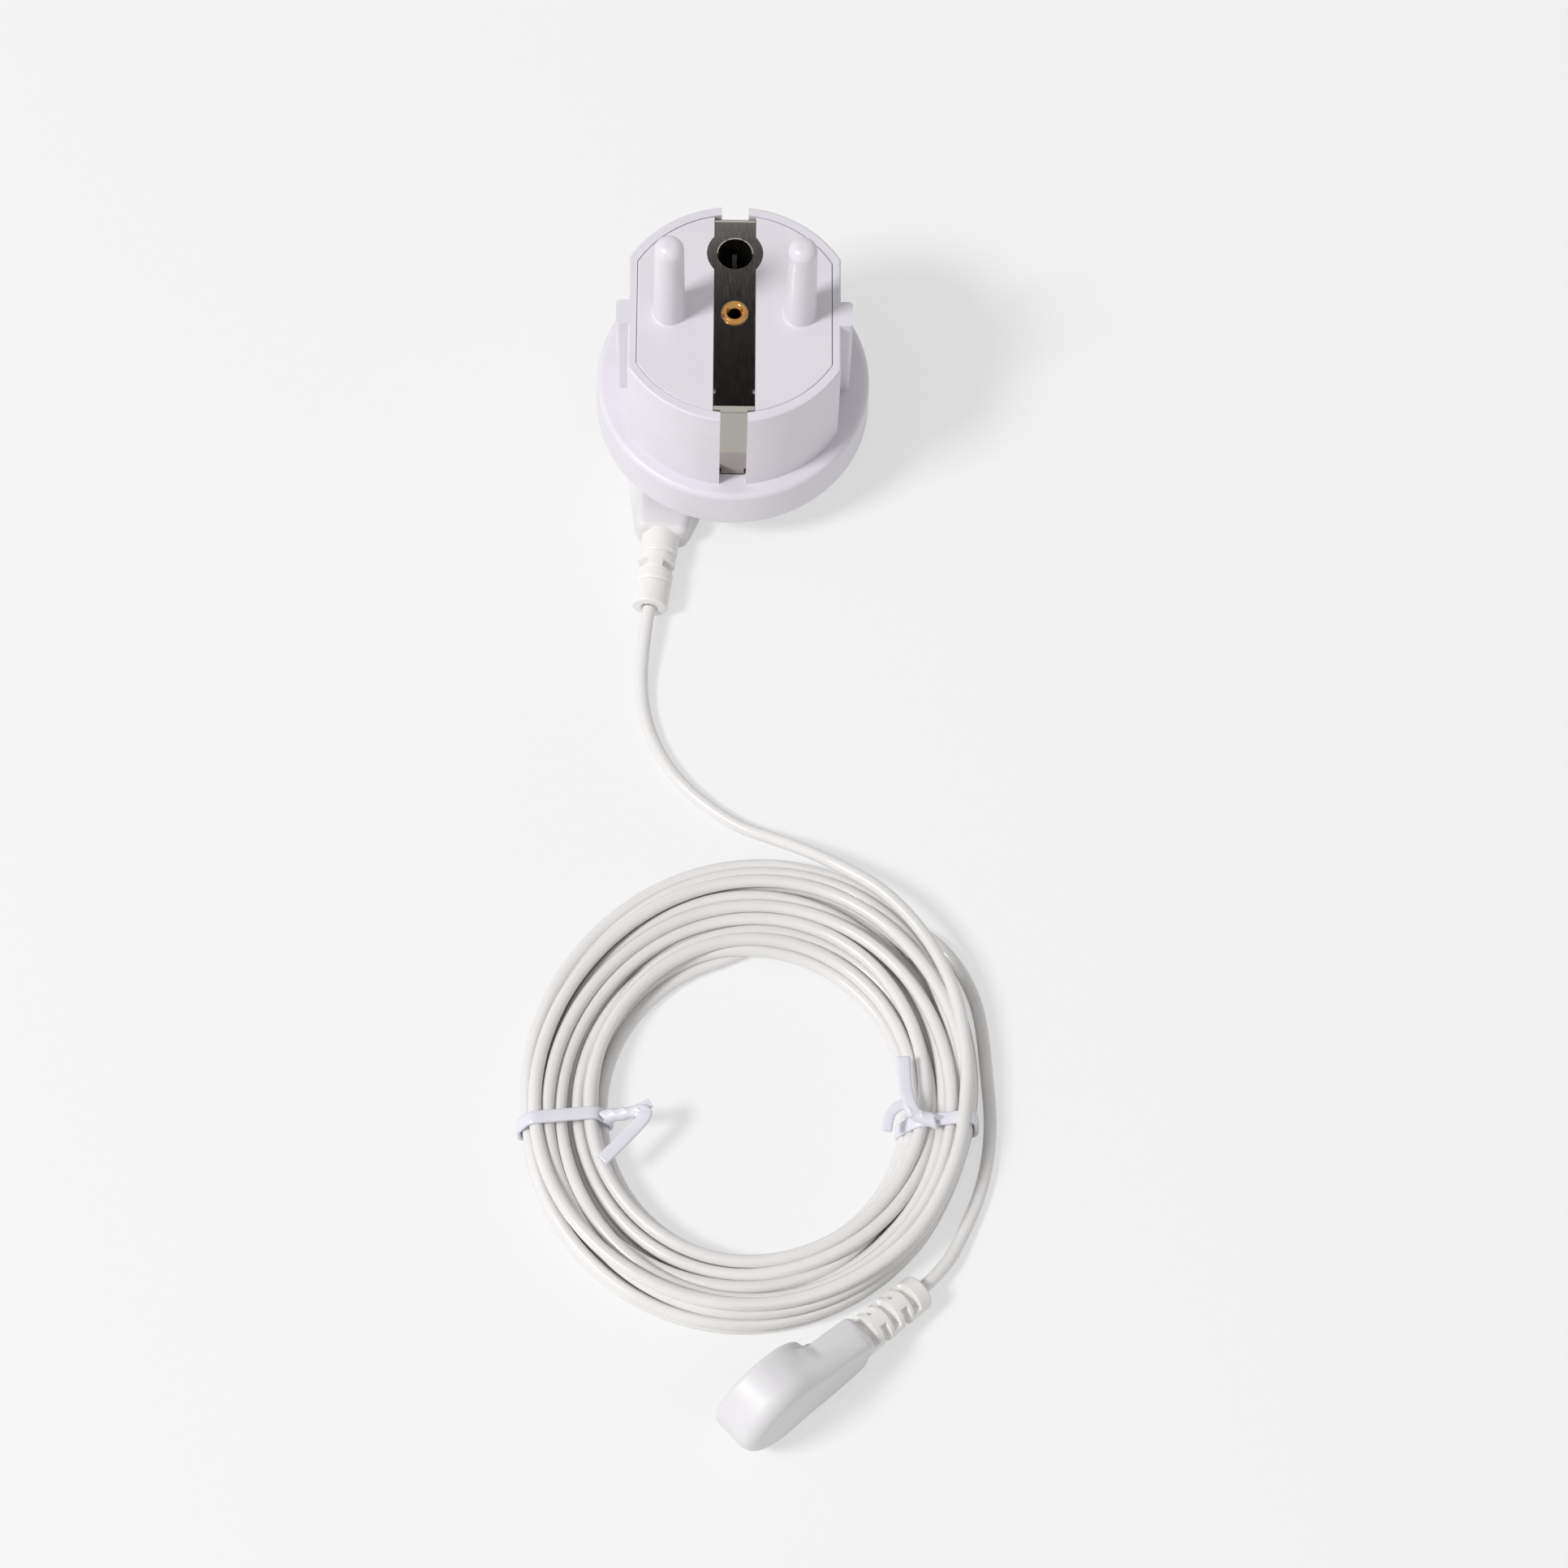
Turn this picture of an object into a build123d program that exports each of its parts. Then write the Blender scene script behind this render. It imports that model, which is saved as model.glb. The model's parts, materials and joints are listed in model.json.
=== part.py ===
from build123d import *

import os
from math import asin, atan2, cos, degrees, hypot, pi, radians, sin, tan

# Grounding plug adapter with a thin snap lead.
# Millimetres. +Z runs along the plug's pins, the origin is the centre of the plug's flat back, and +Y points
# to the earth hole. The plug stands on the connector that is clipped under its back, so the table lies one
# connector below the origin.

os.makedirs("parts", exist_ok=True)

# Housing
BODY_RADIUS = 17.9
BODY_WIDTH = 30.7
BODY_DEPTH = 19.0
FLANGE_SHOULDER = 2.3
FLANGE_THICKNESS = 8.2
FLANGE_DRAFT = 0.8
FLANGE_REAR_ROUND = 1.0
FLANGE_FRONT_ROUND = 0.9
FACE_EDGE_ROUND = 0.35
ROUND_WALL = 1.4
FLAT_WALL = 1.2
BACK_WALL = 2.6
LEDGE_WIDTH = 0.9
RIB_WIDTH = 4.0
RIB_HEIGHT = 1.75
RIB_ROUND = 0.6
SLOT_WIDTH = 3.9

# Front insert with the two plastic pins
INSERT_THICKNESS = 2.4
SEAM_GAP = 0.08
SKIRT_DEPTH = 4.0
SKIRT_WALL = 1.2
SKIRT_GAP = 0.1
PIN_SPACING = 18.9
PIN_LENGTH = 19.0
PIN_BASE_RADIUS = 2.33
PIN_TIP_RADIUS = 2.08
PIN_ROOT_ROUND = 0.3
PIN_TIP_FLAT = 0.4

# Earth strip, its ring and its two legs
STRIP_WIDTH = 5.9
STRIP_THICKNESS = 0.5
STRIP_SINK = 0.15
STRIP_GAP = 0.08
LEG_RECESS = 1.8
BEND_ROUND = 0.85
RING_RADIUS = 4.0
EARTH_HOLE_OFFSET = 10.0
EARTH_HOLE_RADIUS = 2.5
HOLE_BREAK = 0.12
TONGUE_WIDTH = 3.3
TONGUE_LENGTH = 2.0
TONGUE_SHOULDER = 1.6
NICK_OFFSET = 12.9
NICK_LENGTH = 0.7
NICK_DEPTH = 0.3

# Contact sleeve for the socket's earth pin
SLEEVE_WALL = 0.35
SLEEVE_LENGTH = 12.0
SLEEVE_SLOT = 0.7
SLEEVE_SLOT_LENGTH = 8.0
SLEEVE_SEAT_RADIUS = 3.5
SLEEVE_SEAT_THICKNESS = 0.3
BOSS_WALL = 1.2

# Eyelet and the solder tag under it
EYELET_RADIUS = 1.95
EYELET_BARREL_RADIUS = 1.25
EYELET_BORE_RADIUS = 0.85
EYELET_HEIGHT = 0.6
EYELET_ROLL = 0.45
TAG_THICKNESS = 0.3
TAG_RADIUS = 2.6
TAG_EYE_RADIUS = 1.4

# Safety resistor between the tag and the contact plate
RESISTOR_OFFSET = 6.2
RESISTOR_RADIUS = 1.2
RESISTOR_LENGTH = 6.8
RESISTOR_CAP_LENGTH = 1.5
RESISTOR_WAIST = 0.2
RESISTOR_EDGE_ROUND = 0.15
WIRE_RADIUS = 0.3

# Snap studs, their rivets and the plate that joins them
STUD_COUNT = 3
STUD_CIRCLE_RADIUS = 9.6
STUD_FIRST_ANGLE = 210
STUD_STEP_ANGLE = 360 / STUD_COUNT
STUD_BASE_RADIUS = 5.4
STUD_BASE_THICKNESS = 0.45
STUD_RECESS = 0.5
STUD_NECK_RADIUS = 4.2
STUD_RADIUS = 4.95
STUD_HEIGHT = 4.0
STUD_LAND = 1.2
STUD_WALL = 0.45
RIVET_RADIUS = 1.5
RIVET_WALL = 0.35
RIVET_HEAD_RADIUS = 2.5
RIVET_HEAD_THICKNESS = 0.5
RIVET_ROLL_RADIUS = 2.2
RIVET_ROLL_THICKNESS = 0.3
RIVET_GAP = 0.05
PLATE_THICKNESS = 0.5
PLATE_CORNER_RADIUS = 3.6

# Snap connector: head shell, socket cup, spring ring and strain relief
HEAD_RADIUS = 7.7
HEAD_THICKNESS = 7.3
HEAD_OUTER_ROUND = 2.2
HEAD_MOUTH_ROUND = 0.7
HEAD_SEAT_GAP = 0.1
NECK_ROOT_WIDTH = 11.6
NECK_END = 15.5
NECK_END_WIDTH = 7.4
NECK_THICKNESS = 5.7
NECK_EDGE_ROUND = 1.3
NECK_END_ROUND = 0.9
CUP_RADIUS = 5.9
CUP_BORE_RADIUS = 5.15
CUP_DEPTH = 4.9
CUP_FLOOR = 0.4
CUP_RIM_RADIUS = 6.4
CUP_RIM_THICKNESS = 0.35
SPRING_WIRE_RADIUS = 0.35
SPRING_RADIUS = 5.0
SPRING_DEPTH = 1.3
SPRING_SPAN = 318
SPRING_GROOVE_GAP = 0.1
RELIEF_LENGTH = 11.7
RELIEF_ROOT_RADIUS = 2.8
RELIEF_END_RADIUS = 2.65
RELIEF_BRIDGE_WIDTH = 2.4
RELIEF_END_ROUND = 0.35
RELIEF_STUB_RADIUS = 2.0
RELIEF_STUB_LENGTH = 3.0
# Each window of a relief: where it starts and ends, its floor's radius, and whether it opens to the sides
PLUG_RELIEF_WINDOWS = [(3.0, 3.5, 2.5, False), (4.6, 6.0, 1.7, True), (7.6, 8.1, 2.45, False)]
MAT_RELIEF_WINDOWS = [
    (0.5, 1.5, 1.7, True),
    (2.7, 3.8, 1.7, False),
    (4.8, 5.7, 1.7, True),
    (6.7, 7.7, 1.7, False),
    (8.7, 9.7, 1.7, True),
]

# Where the two connectors lie
PLUG_HEAD_HEADING = -97.8
MAT_RELIEF_END = (26.9, -137.5)
MAT_HEAD_HEADING = 42.5

# Lead and coil
CORD_DIAMETER = 1.9
COIL_CENTRE = (3.4, -107.2)
COIL_SEMI_AXES = (32.2, 37.8)
COIL_TURN = -8.2
COIL_HOLE_CENTRE = (3.9, -110.5)
COIL_HOLE_SEMI_AXES = (20.7, 22.7)
COIL_HOLE_TURN = -7.0
COIL_HEIGHT = 5.8
COIL_ROUND = 2.2

# Twist ties
TIE_WIDTH = 1.8
TIE_THICKNESS = 0.8
TIE_GAP = 0.2
TIE_CORNER = 2.3
TIE_Y = -113.3
KNOT_LENGTH = 5.0
KNOT_SIZE = 1.9
KNOT_STEPS = 9
KNOT_STEP_TURN = 30
LEFT_TIE_TAILS = [(-17.4, -120.4)]
RIGHT_TIE_TAILS = [(24.7, -104.3), (22.5, -116.5)]

# Places that follow from the sizes above
FLANGE_RADIUS = BODY_RADIUS + FLANGE_SHOULDER
FACE_Z = FLANGE_THICKNESS + BODY_DEPTH
STRIP_TOP = FACE_Z - STRIP_SINK
STRIP_UNDER = STRIP_TOP - STRIP_THICKNESS
INSERT_UNDER = FACE_Z - INSERT_THICKNESS
MOUTH_RADIUS = BODY_RADIUS - ROUND_WALL
MOUTH_WIDTH = BODY_WIDTH - 2 * FLAT_WALL
CAVITY_RADIUS = MOUTH_RADIUS - LEDGE_WIDTH
CAVITY_WIDTH = MOUTH_WIDTH - 2 * LEDGE_WIDTH
LEG_OUTER = BODY_RADIUS - LEG_RECESS
LEG_SPAN = 2 * LEG_OUTER
LEG_INNER = LEG_OUTER - STRIP_THICKNESS
CHANNEL_WIDTH = STRIP_WIDTH + 2 * STRIP_GAP
SLEEVE_RADIUS = EARTH_HOLE_RADIUS + SLEEVE_WALL
PLATE_TOP = BACK_WALL + PLATE_THICKNESS
TABLE_Z = -HEAD_SEAT_GAP - HEAD_THICKNESS
RELIEF_REACH = NECK_END + RELIEF_LENGTH
RELIEF_AXIS_DEPTH = HEAD_THICKNESS - NECK_THICKNESS / 2
CORD_RADIUS = CORD_DIAMETER / 2
COIL_BASE = TABLE_Z + TIE_THICKNESS + TIE_GAP
COIL_TOP = COIL_BASE + COIL_HEIGHT

kept_pieces = []


def keep(piece, name):
    """Labels one finished piece and writes it."""
    piece.label = name
    export_step(piece, f"parts/{name}.step")
    kept_pieces.append(piece)


def flatted_disc(radius, width):
    """A disc with two straight flats, the outline of the plug's front body."""
    Circle(radius)
    Rectangle(width, 2 * radius, mode=Mode.INTERSECT)


def make_wire(start, end):
    """A straight resistor lead between two heights."""
    with BuildPart() as wire:
        with BuildSketch(Plane.XY.offset(start)):
            with Locations((RESISTOR_OFFSET, 0)):
                Circle(WIRE_RADIUS)
        extrude(amount=end - start)
    return wire.part


def turned(profile, centre):
    """A solid of revolution about a vertical axis through a place on the back."""
    with BuildPart() as piece:
        with BuildSketch(Plane.XZ):
            with BuildLine():
                Polyline(*profile, close=True)
            make_face()
        revolve(axis=Axis.Z)
    return piece.part.moved(Location(centre))


def make_stud(centre):
    """A drawn ring stud: base in the recess, narrow neck, bulb with a straight land, open centre."""
    base_top = STUD_BASE_THICKNESS + RIVET_GAP
    tip = -STUD_HEIGHT
    land_low = tip + (STUD_HEIGHT - STUD_LAND) / 3
    land_high = land_low + STUD_LAND
    bore = STUD_NECK_RADIUS - STUD_WALL
    eye = RIVET_RADIUS + RIVET_GAP
    profile = [
        (bore, base_top),
        (STUD_BASE_RADIUS, base_top),
        (STUD_BASE_RADIUS, RIVET_GAP),
        (STUD_NECK_RADIUS, RIVET_GAP),
        (STUD_NECK_RADIUS, land_high + (STUD_RADIUS - STUD_NECK_RADIUS)),
        (STUD_RADIUS, land_high),
        (STUD_RADIUS, land_low),
        (STUD_NECK_RADIUS, tip),
        (eye, tip),
        (eye, tip + STUD_WALL),
        (bore, tip + STUD_WALL),
    ]
    return turned(profile, centre)


def make_rivet(centre):
    """The tubular rivet that holds one stud: head on the contact plate, end rolled over the stud's tip."""
    bore = RIVET_RADIUS - RIVET_WALL
    tip = -STUD_HEIGHT
    profile = [
        (bore, PLATE_TOP + RIVET_HEAD_THICKNESS),
        (RIVET_HEAD_RADIUS, PLATE_TOP + RIVET_HEAD_THICKNESS),
        (RIVET_HEAD_RADIUS, PLATE_TOP),
        (RIVET_RADIUS, PLATE_TOP),
        (RIVET_RADIUS, tip),
        (RIVET_ROLL_RADIUS, tip),
        (RIVET_RADIUS, tip - RIVET_ROLL_THICKNESS),
        (bore, tip - RIVET_ROLL_THICKNESS),
    ]
    return turned(profile, centre)


# A connector is built in its own frame: the mouth of its socket is at the origin and opens to +Z, and its
# neck and relief run along +X. A plane places it.


def neck_section(along):
    """The plane across the neck at a distance from the socket's axis."""
    return Plane(origin=(along, 0, -RELIEF_AXIS_DEPTH), x_dir=(0, 1, 0), z_dir=(1, 0, 0))


def make_relief(windows):
    """A connector's strain relief: a tapered rod cut by windows, with the stub that sits in the neck."""
    with BuildPart() as relief:
        with BuildSketch(neck_section(NECK_END)):
            Circle(RELIEF_ROOT_RADIUS)
        extrude(amount=RELIEF_LENGTH, taper=degrees((RELIEF_ROOT_RADIUS - RELIEF_END_RADIUS) / RELIEF_LENGTH))
        fillet(relief.edges().group_by(Axis.X)[-1], RELIEF_END_ROUND)
        for start, end, floor_radius, sideways in windows:
            with BuildSketch(neck_section(NECK_END + start)):
                Circle(2 * RELIEF_ROOT_RADIUS)
                Circle(floor_radius, mode=Mode.SUBTRACT)
                bridge = (RELIEF_BRIDGE_WIDTH, 4 * RELIEF_ROOT_RADIUS)
                Rectangle(*(bridge if sideways else bridge[::-1]), mode=Mode.SUBTRACT)
            extrude(amount=end - start, mode=Mode.SUBTRACT)
        with BuildSketch(neck_section(NECK_END)):
            Circle(RELIEF_STUB_RADIUS)
        extrude(amount=-RELIEF_STUB_LENGTH)
    return relief.part


def stud_place(index):
    """The centre of one stud on the plug's back."""
    angle = radians(STUD_FIRST_ANGLE + index * STUD_STEP_ANGLE)
    return Vector(STUD_CIRCLE_RADIUS * cos(angle), STUD_CIRCLE_RADIUS * sin(angle), 0)


def plug_head_plane():
    """The first connector lies flat under the plug, its socket up over the first stud."""
    heading = radians(PLUG_HEAD_HEADING)
    return Plane(
        origin=stud_place(0) - Vector(0, 0, HEAD_SEAT_GAP), x_dir=(cos(heading), sin(heading), 0), z_dir=(0, 0, 1)
    )


def mat_head_plane():
    """The second connector stands on the rim of its head and on the end of its relief, its socket level."""
    heading = radians(MAT_HEAD_HEADING)
    dip = asin((HEAD_RADIUS - RELIEF_END_RADIUS) / RELIEF_REACH)
    along = Vector(cos(dip) * cos(heading), cos(dip) * sin(heading), -sin(dip))
    mouth = Vector(-sin(heading), cos(heading), 0)
    end = Vector(*MAT_RELIEF_END, TABLE_Z + HEAD_RADIUS - RELIEF_REACH * sin(dip))
    return Plane(origin=end - along * RELIEF_REACH + mouth * RELIEF_AXIS_DEPTH, x_dir=along, z_dir=mouth)


def relief_end(plane):
    """Where the cord leaves a connector, and the direction in which it leaves."""
    return plane.from_local_coords(Vector(RELIEF_REACH, 0, -RELIEF_AXIS_DEPTH)), plane.x_dir


def cord_tube(route, name):
    """A cord's tube along straight runs and tangent arcs, each as large as its two runs allow."""
    points = [Vector(*point) for point in route]
    radii = []
    for before, here, after in zip(points, points[1:], points[2:]):
        turn = radians((here - before).get_angle(after - here))
        radii.append(0.45 * min((here - before).length, (after - here).length) / tan(turn / 2))
    with BuildPart() as tube:
        with BuildLine() as path:
            FilletPolyline(*points, radius=radii)
        with BuildSketch(path.line ^ 0):
            Circle(CORD_RADIUS)
        sweep()
    length = sum(edge.length for edge in path.edges())
    expected = pi * CORD_RADIUS**2 * length
    print(name, "radii", [round(radius, 1) for radius in radii])
    print(name, f"length {length:.1f}, volume {tube.part.volume:.1f} of {expected:.1f}")
    return tube.part


def oval_edge(centre, semi_axes, turn, y, side):
    """The X of a turned oval's edge at a given Y, on its left (-1) or right (1) side."""
    across = semi_axes[0] * cos(radians(turn)), semi_axes[0] * sin(radians(turn))
    along = -semi_axes[1] * sin(radians(turn)), semi_axes[1] * cos(radians(turn))
    step = asin((y - centre[1]) / hypot(across[1], along[1]))
    angle = (step if side > 0 else pi - step) - atan2(across[1], along[1])
    return centre[0] + across[0] * cos(angle) + along[0] * sin(angle)


def make_tie(side, tail_ends):
    """A twist tie round one side of the coil: a closed band, a twisted knot in the hole and its flat ends."""
    outer_x = oval_edge(COIL_CENTRE, COIL_SEMI_AXES, COIL_TURN, TIE_Y, side) + side * TIE_GAP
    inner_x = oval_edge(COIL_HOLE_CENTRE, COIL_HOLE_SEMI_AXES, COIL_HOLE_TURN, TIE_Y, side) - side * TIE_GAP
    middle = ((outer_x + inner_x) / 2, (COIL_BASE + COIL_TOP) / 2)
    width = abs(outer_x - inner_x)
    height = COIL_HEIGHT + 2 * TIE_GAP
    knot_z = COIL_TOP - COIL_ROUND
    knot_x = inner_x - side * TIE_THICKNESS / 2
    tail_z = COIL_TOP + TIE_GAP + TIE_THICKNESS / 2
    with BuildPart() as tie:
        with BuildSketch(Plane.XZ.offset(-TIE_Y)):
            with Locations(middle):
                RectangleRounded(width + 2 * TIE_THICKNESS, height + 2 * TIE_THICKNESS, TIE_CORNER + TIE_THICKNESS)
                RectangleRounded(width, height, TIE_CORNER, mode=Mode.SUBTRACT)
        extrude(amount=TIE_WIDTH / 2, both=True)
        for step in range(KNOT_STEPS + 1):
            place = (knot_x - side * KNOT_LENGTH * step / KNOT_STEPS, TIE_Y, knot_z)
            with BuildSketch(Plane(origin=place, x_dir=(0, 1, 0), z_dir=(-side, 0, 0))):
                Rectangle(KNOT_SIZE, KNOT_SIZE * 0.6, rotation=step * KNOT_STEP_TURN)
        loft()
        knot_end = (knot_x - side * (KNOT_LENGTH - KNOT_SIZE / 2), TIE_Y, tail_z)
        with BuildSketch(Plane(origin=(knot_end[0], TIE_Y, knot_z))):
            Circle(TIE_WIDTH / 2)
        extrude(amount=tail_z - knot_z)
        for end in tail_ends:
            run = Vector(end[0], end[1], tail_z) - Vector(*knot_end)
            with BuildSketch(Plane(origin=knot_end, x_dir=run.cross(Vector(0, 0, 1)), z_dir=run)):
                RectangleRounded(TIE_WIDTH, TIE_THICKNESS, TIE_THICKNESS * 0.45)
            extrude(amount=run.length)
    return tie.part


# The moulded body: flange, flatted front body, guide ribs, strip slots and stud seats.
with BuildPart() as housing:
    with BuildSketch():
        Circle(FLANGE_RADIUS)
    extrude(amount=FLANGE_THICKNESS, taper=FLANGE_DRAFT)
    fillet(housing.edges().group_by(Axis.Z)[0], FLANGE_REAR_ROUND)
    fillet(housing.edges().group_by(Axis.Z)[-1], FLANGE_FRONT_ROUND)
    with BuildSketch(Plane.XY.offset(FLANGE_THICKNESS)):
        flatted_disc(BODY_RADIUS, BODY_WIDTH)
    extrude(amount=BODY_DEPTH)
    fillet(housing.edges().group_by(Axis.Z)[-1], FACE_EDGE_ROUND)
    with BuildSketch(Plane.XY.offset(FLANGE_THICKNESS)):
        for side in (-1, 1):
            with Locations((side * (BODY_WIDTH / 2 + RIB_HEIGHT - RIB_WIDTH / 2), 0)):
                Rectangle(RIB_WIDTH, RIB_WIDTH)
    extrude(amount=BODY_DEPTH)
    rib_corners = housing.edges().filter_by(Axis.Z).filter_by(
        lambda edge: abs(abs(edge.center().X) - BODY_WIDTH / 2 - RIB_HEIGHT) < 0.01
    )
    fillet(rib_corners, RIB_ROUND)
    # Mouth for the insert, the ledge that it sits on and the cavity behind it
    with BuildSketch(Plane.XY.offset(INSERT_UNDER)):
        flatted_disc(MOUTH_RADIUS, MOUTH_WIDTH)
    extrude(amount=INSERT_THICKNESS, mode=Mode.SUBTRACT)
    with BuildSketch(Plane.XY.offset(BACK_WALL)):
        flatted_disc(CAVITY_RADIUS, CAVITY_WIDTH)
    extrude(amount=INSERT_UNDER - BACK_WALL, mode=Mode.SUBTRACT)
    # The strip's legs stand in pockets inside the wall and show through narrower slots
    pocket = LEG_OUTER + STRIP_GAP - CAVITY_RADIUS + 1
    with BuildSketch(Plane.XY.offset(FLANGE_THICKNESS)):
        for side in (-1, 1):
            with Locations((0, side * (LEG_OUTER + STRIP_GAP - pocket / 2))):
                Rectangle(CHANNEL_WIDTH, pocket)
            with Locations((0, side * BODY_RADIUS)):
                Rectangle(SLOT_WIDTH, 2 * (BODY_RADIUS - LEG_INNER))
    extrude(amount=BODY_DEPTH, mode=Mode.SUBTRACT)
    with BuildSketch(Plane.XY.offset(FLANGE_THICKNESS - TONGUE_LENGTH)):
        for side in (-1, 1):
            with Locations((0, side * (LEG_OUTER + STRIP_GAP - pocket / 2))):
                Rectangle(TONGUE_WIDTH + 2 * STRIP_GAP, pocket)
    extrude(amount=TONGUE_LENGTH, mode=Mode.SUBTRACT)
    # Seats and rivet holes of the snap studs
    with BuildSketch():
        with PolarLocations(STUD_CIRCLE_RADIUS, STUD_COUNT, STUD_FIRST_ANGLE):
            Circle(STUD_BASE_RADIUS + RIVET_GAP)
    extrude(amount=STUD_RECESS, mode=Mode.SUBTRACT)
    with BuildSketch():
        with PolarLocations(STUD_CIRCLE_RADIUS, STUD_COUNT, STUD_FIRST_ANGLE):
            Circle(RIVET_RADIUS + RIVET_GAP)
    extrude(amount=BACK_WALL, mode=Mode.SUBTRACT)
housing.part.label = "housing"
export_step(housing.part, "parts/housing.step")

# The front insert: plate, locating skirt, sleeve boss and two tapered pins in one moulding.
with BuildPart() as pin_face:
    with BuildSketch(Plane.XY.offset(INSERT_UNDER)):
        flatted_disc(MOUTH_RADIUS - SEAM_GAP, MOUTH_WIDTH - 2 * SEAM_GAP)
    extrude(amount=INSERT_THICKNESS)
    fillet(pin_face.edges().group_by(Axis.Z)[-1], SEAM_GAP * 2)
    with BuildSketch(Plane.XY.offset(INSERT_UNDER)):
        flatted_disc(CAVITY_RADIUS - SKIRT_GAP, CAVITY_WIDTH - 2 * SKIRT_GAP)
        offset(amount=-SKIRT_WALL, mode=Mode.SUBTRACT)
    extrude(amount=-SKIRT_DEPTH)
    with BuildSketch(Plane.XY.offset(INSERT_UNDER)):
        with Locations((0, EARTH_HOLE_OFFSET)):
            Circle(SLEEVE_RADIUS + STRIP_GAP + BOSS_WALL)
    extrude(amount=INSERT_THICKNESS - SLEEVE_LENGTH)
    # Pins with a soft root and a domed tip
    with BuildSketch(Plane.XY.offset(FACE_Z)):
        with Locations((-PIN_SPACING / 2, 0), (PIN_SPACING / 2, 0)):
            Circle(PIN_BASE_RADIUS)
    extrude(amount=PIN_LENGTH, taper=degrees((PIN_BASE_RADIUS - PIN_TIP_RADIUS) / PIN_LENGTH))
    fillet(pin_face.edges().group_by(Axis.Z)[-1], PIN_TIP_RADIUS - PIN_TIP_FLAT)
    pin_roots = pin_face.edges().filter_by(GeomType.CIRCLE).filter_by(
        lambda edge: abs(edge.center().Z - FACE_Z) < 0.01 and abs(edge.radius - PIN_BASE_RADIUS) < 0.01
    )
    fillet(pin_roots, PIN_ROOT_ROUND)
    # Channel, ring seat and end gaps for the earth strip
    with BuildSketch(Plane.XY.offset(STRIP_UNDER)):
        Rectangle(CHANNEL_WIDTH, 2 * BODY_RADIUS)
        with Locations((0, EARTH_HOLE_OFFSET)):
            Circle(RING_RADIUS + STRIP_GAP)
    extrude(amount=PIN_LENGTH / 2, mode=Mode.SUBTRACT)
    with BuildSketch(Plane.XY.offset(INSERT_UNDER - SKIRT_DEPTH)):
        for side in (-1, 1):
            with Locations((0, side * BODY_RADIUS)):
                Rectangle(CHANNEL_WIDTH, 2 * (BODY_RADIUS - LEG_INNER + STRIP_GAP))
    extrude(amount=INSERT_THICKNESS + SKIRT_DEPTH, mode=Mode.SUBTRACT)
    bend_corners = pin_face.edges().filter_by(Axis.X).filter_by(
        lambda edge: abs(edge.center().Z - STRIP_UNDER) < 0.01
        and abs(abs(edge.center().Y) - LEG_INNER + STRIP_GAP) < 0.01
    )
    fillet(bend_corners, BEND_ROUND - STRIP_THICKNESS + STRIP_GAP)
    # Sleeve bore with its seat, and the eyelet's hole
    with BuildSketch(Plane.XY.offset(STRIP_UNDER)):
        with Locations((0, EARTH_HOLE_OFFSET)):
            Circle(SLEEVE_RADIUS + STRIP_GAP)
    extrude(amount=-SLEEVE_LENGTH, mode=Mode.SUBTRACT)
    with BuildSketch(Plane.XY.offset(STRIP_UNDER)):
        with Locations((0, EARTH_HOLE_OFFSET)):
            Circle(SLEEVE_SEAT_RADIUS + STRIP_GAP)
    extrude(amount=-SLEEVE_SEAT_THICKNESS, mode=Mode.SUBTRACT)
    with BuildSketch(Plane.XY.offset(INSERT_UNDER)):
        Circle(EYELET_BARREL_RADIUS + STRIP_GAP)
    extrude(amount=INSERT_THICKNESS, mode=Mode.SUBTRACT)
pin_face.part.label = "pin_face"
export_step(pin_face.part, "parts/pin_face.step")

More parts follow.
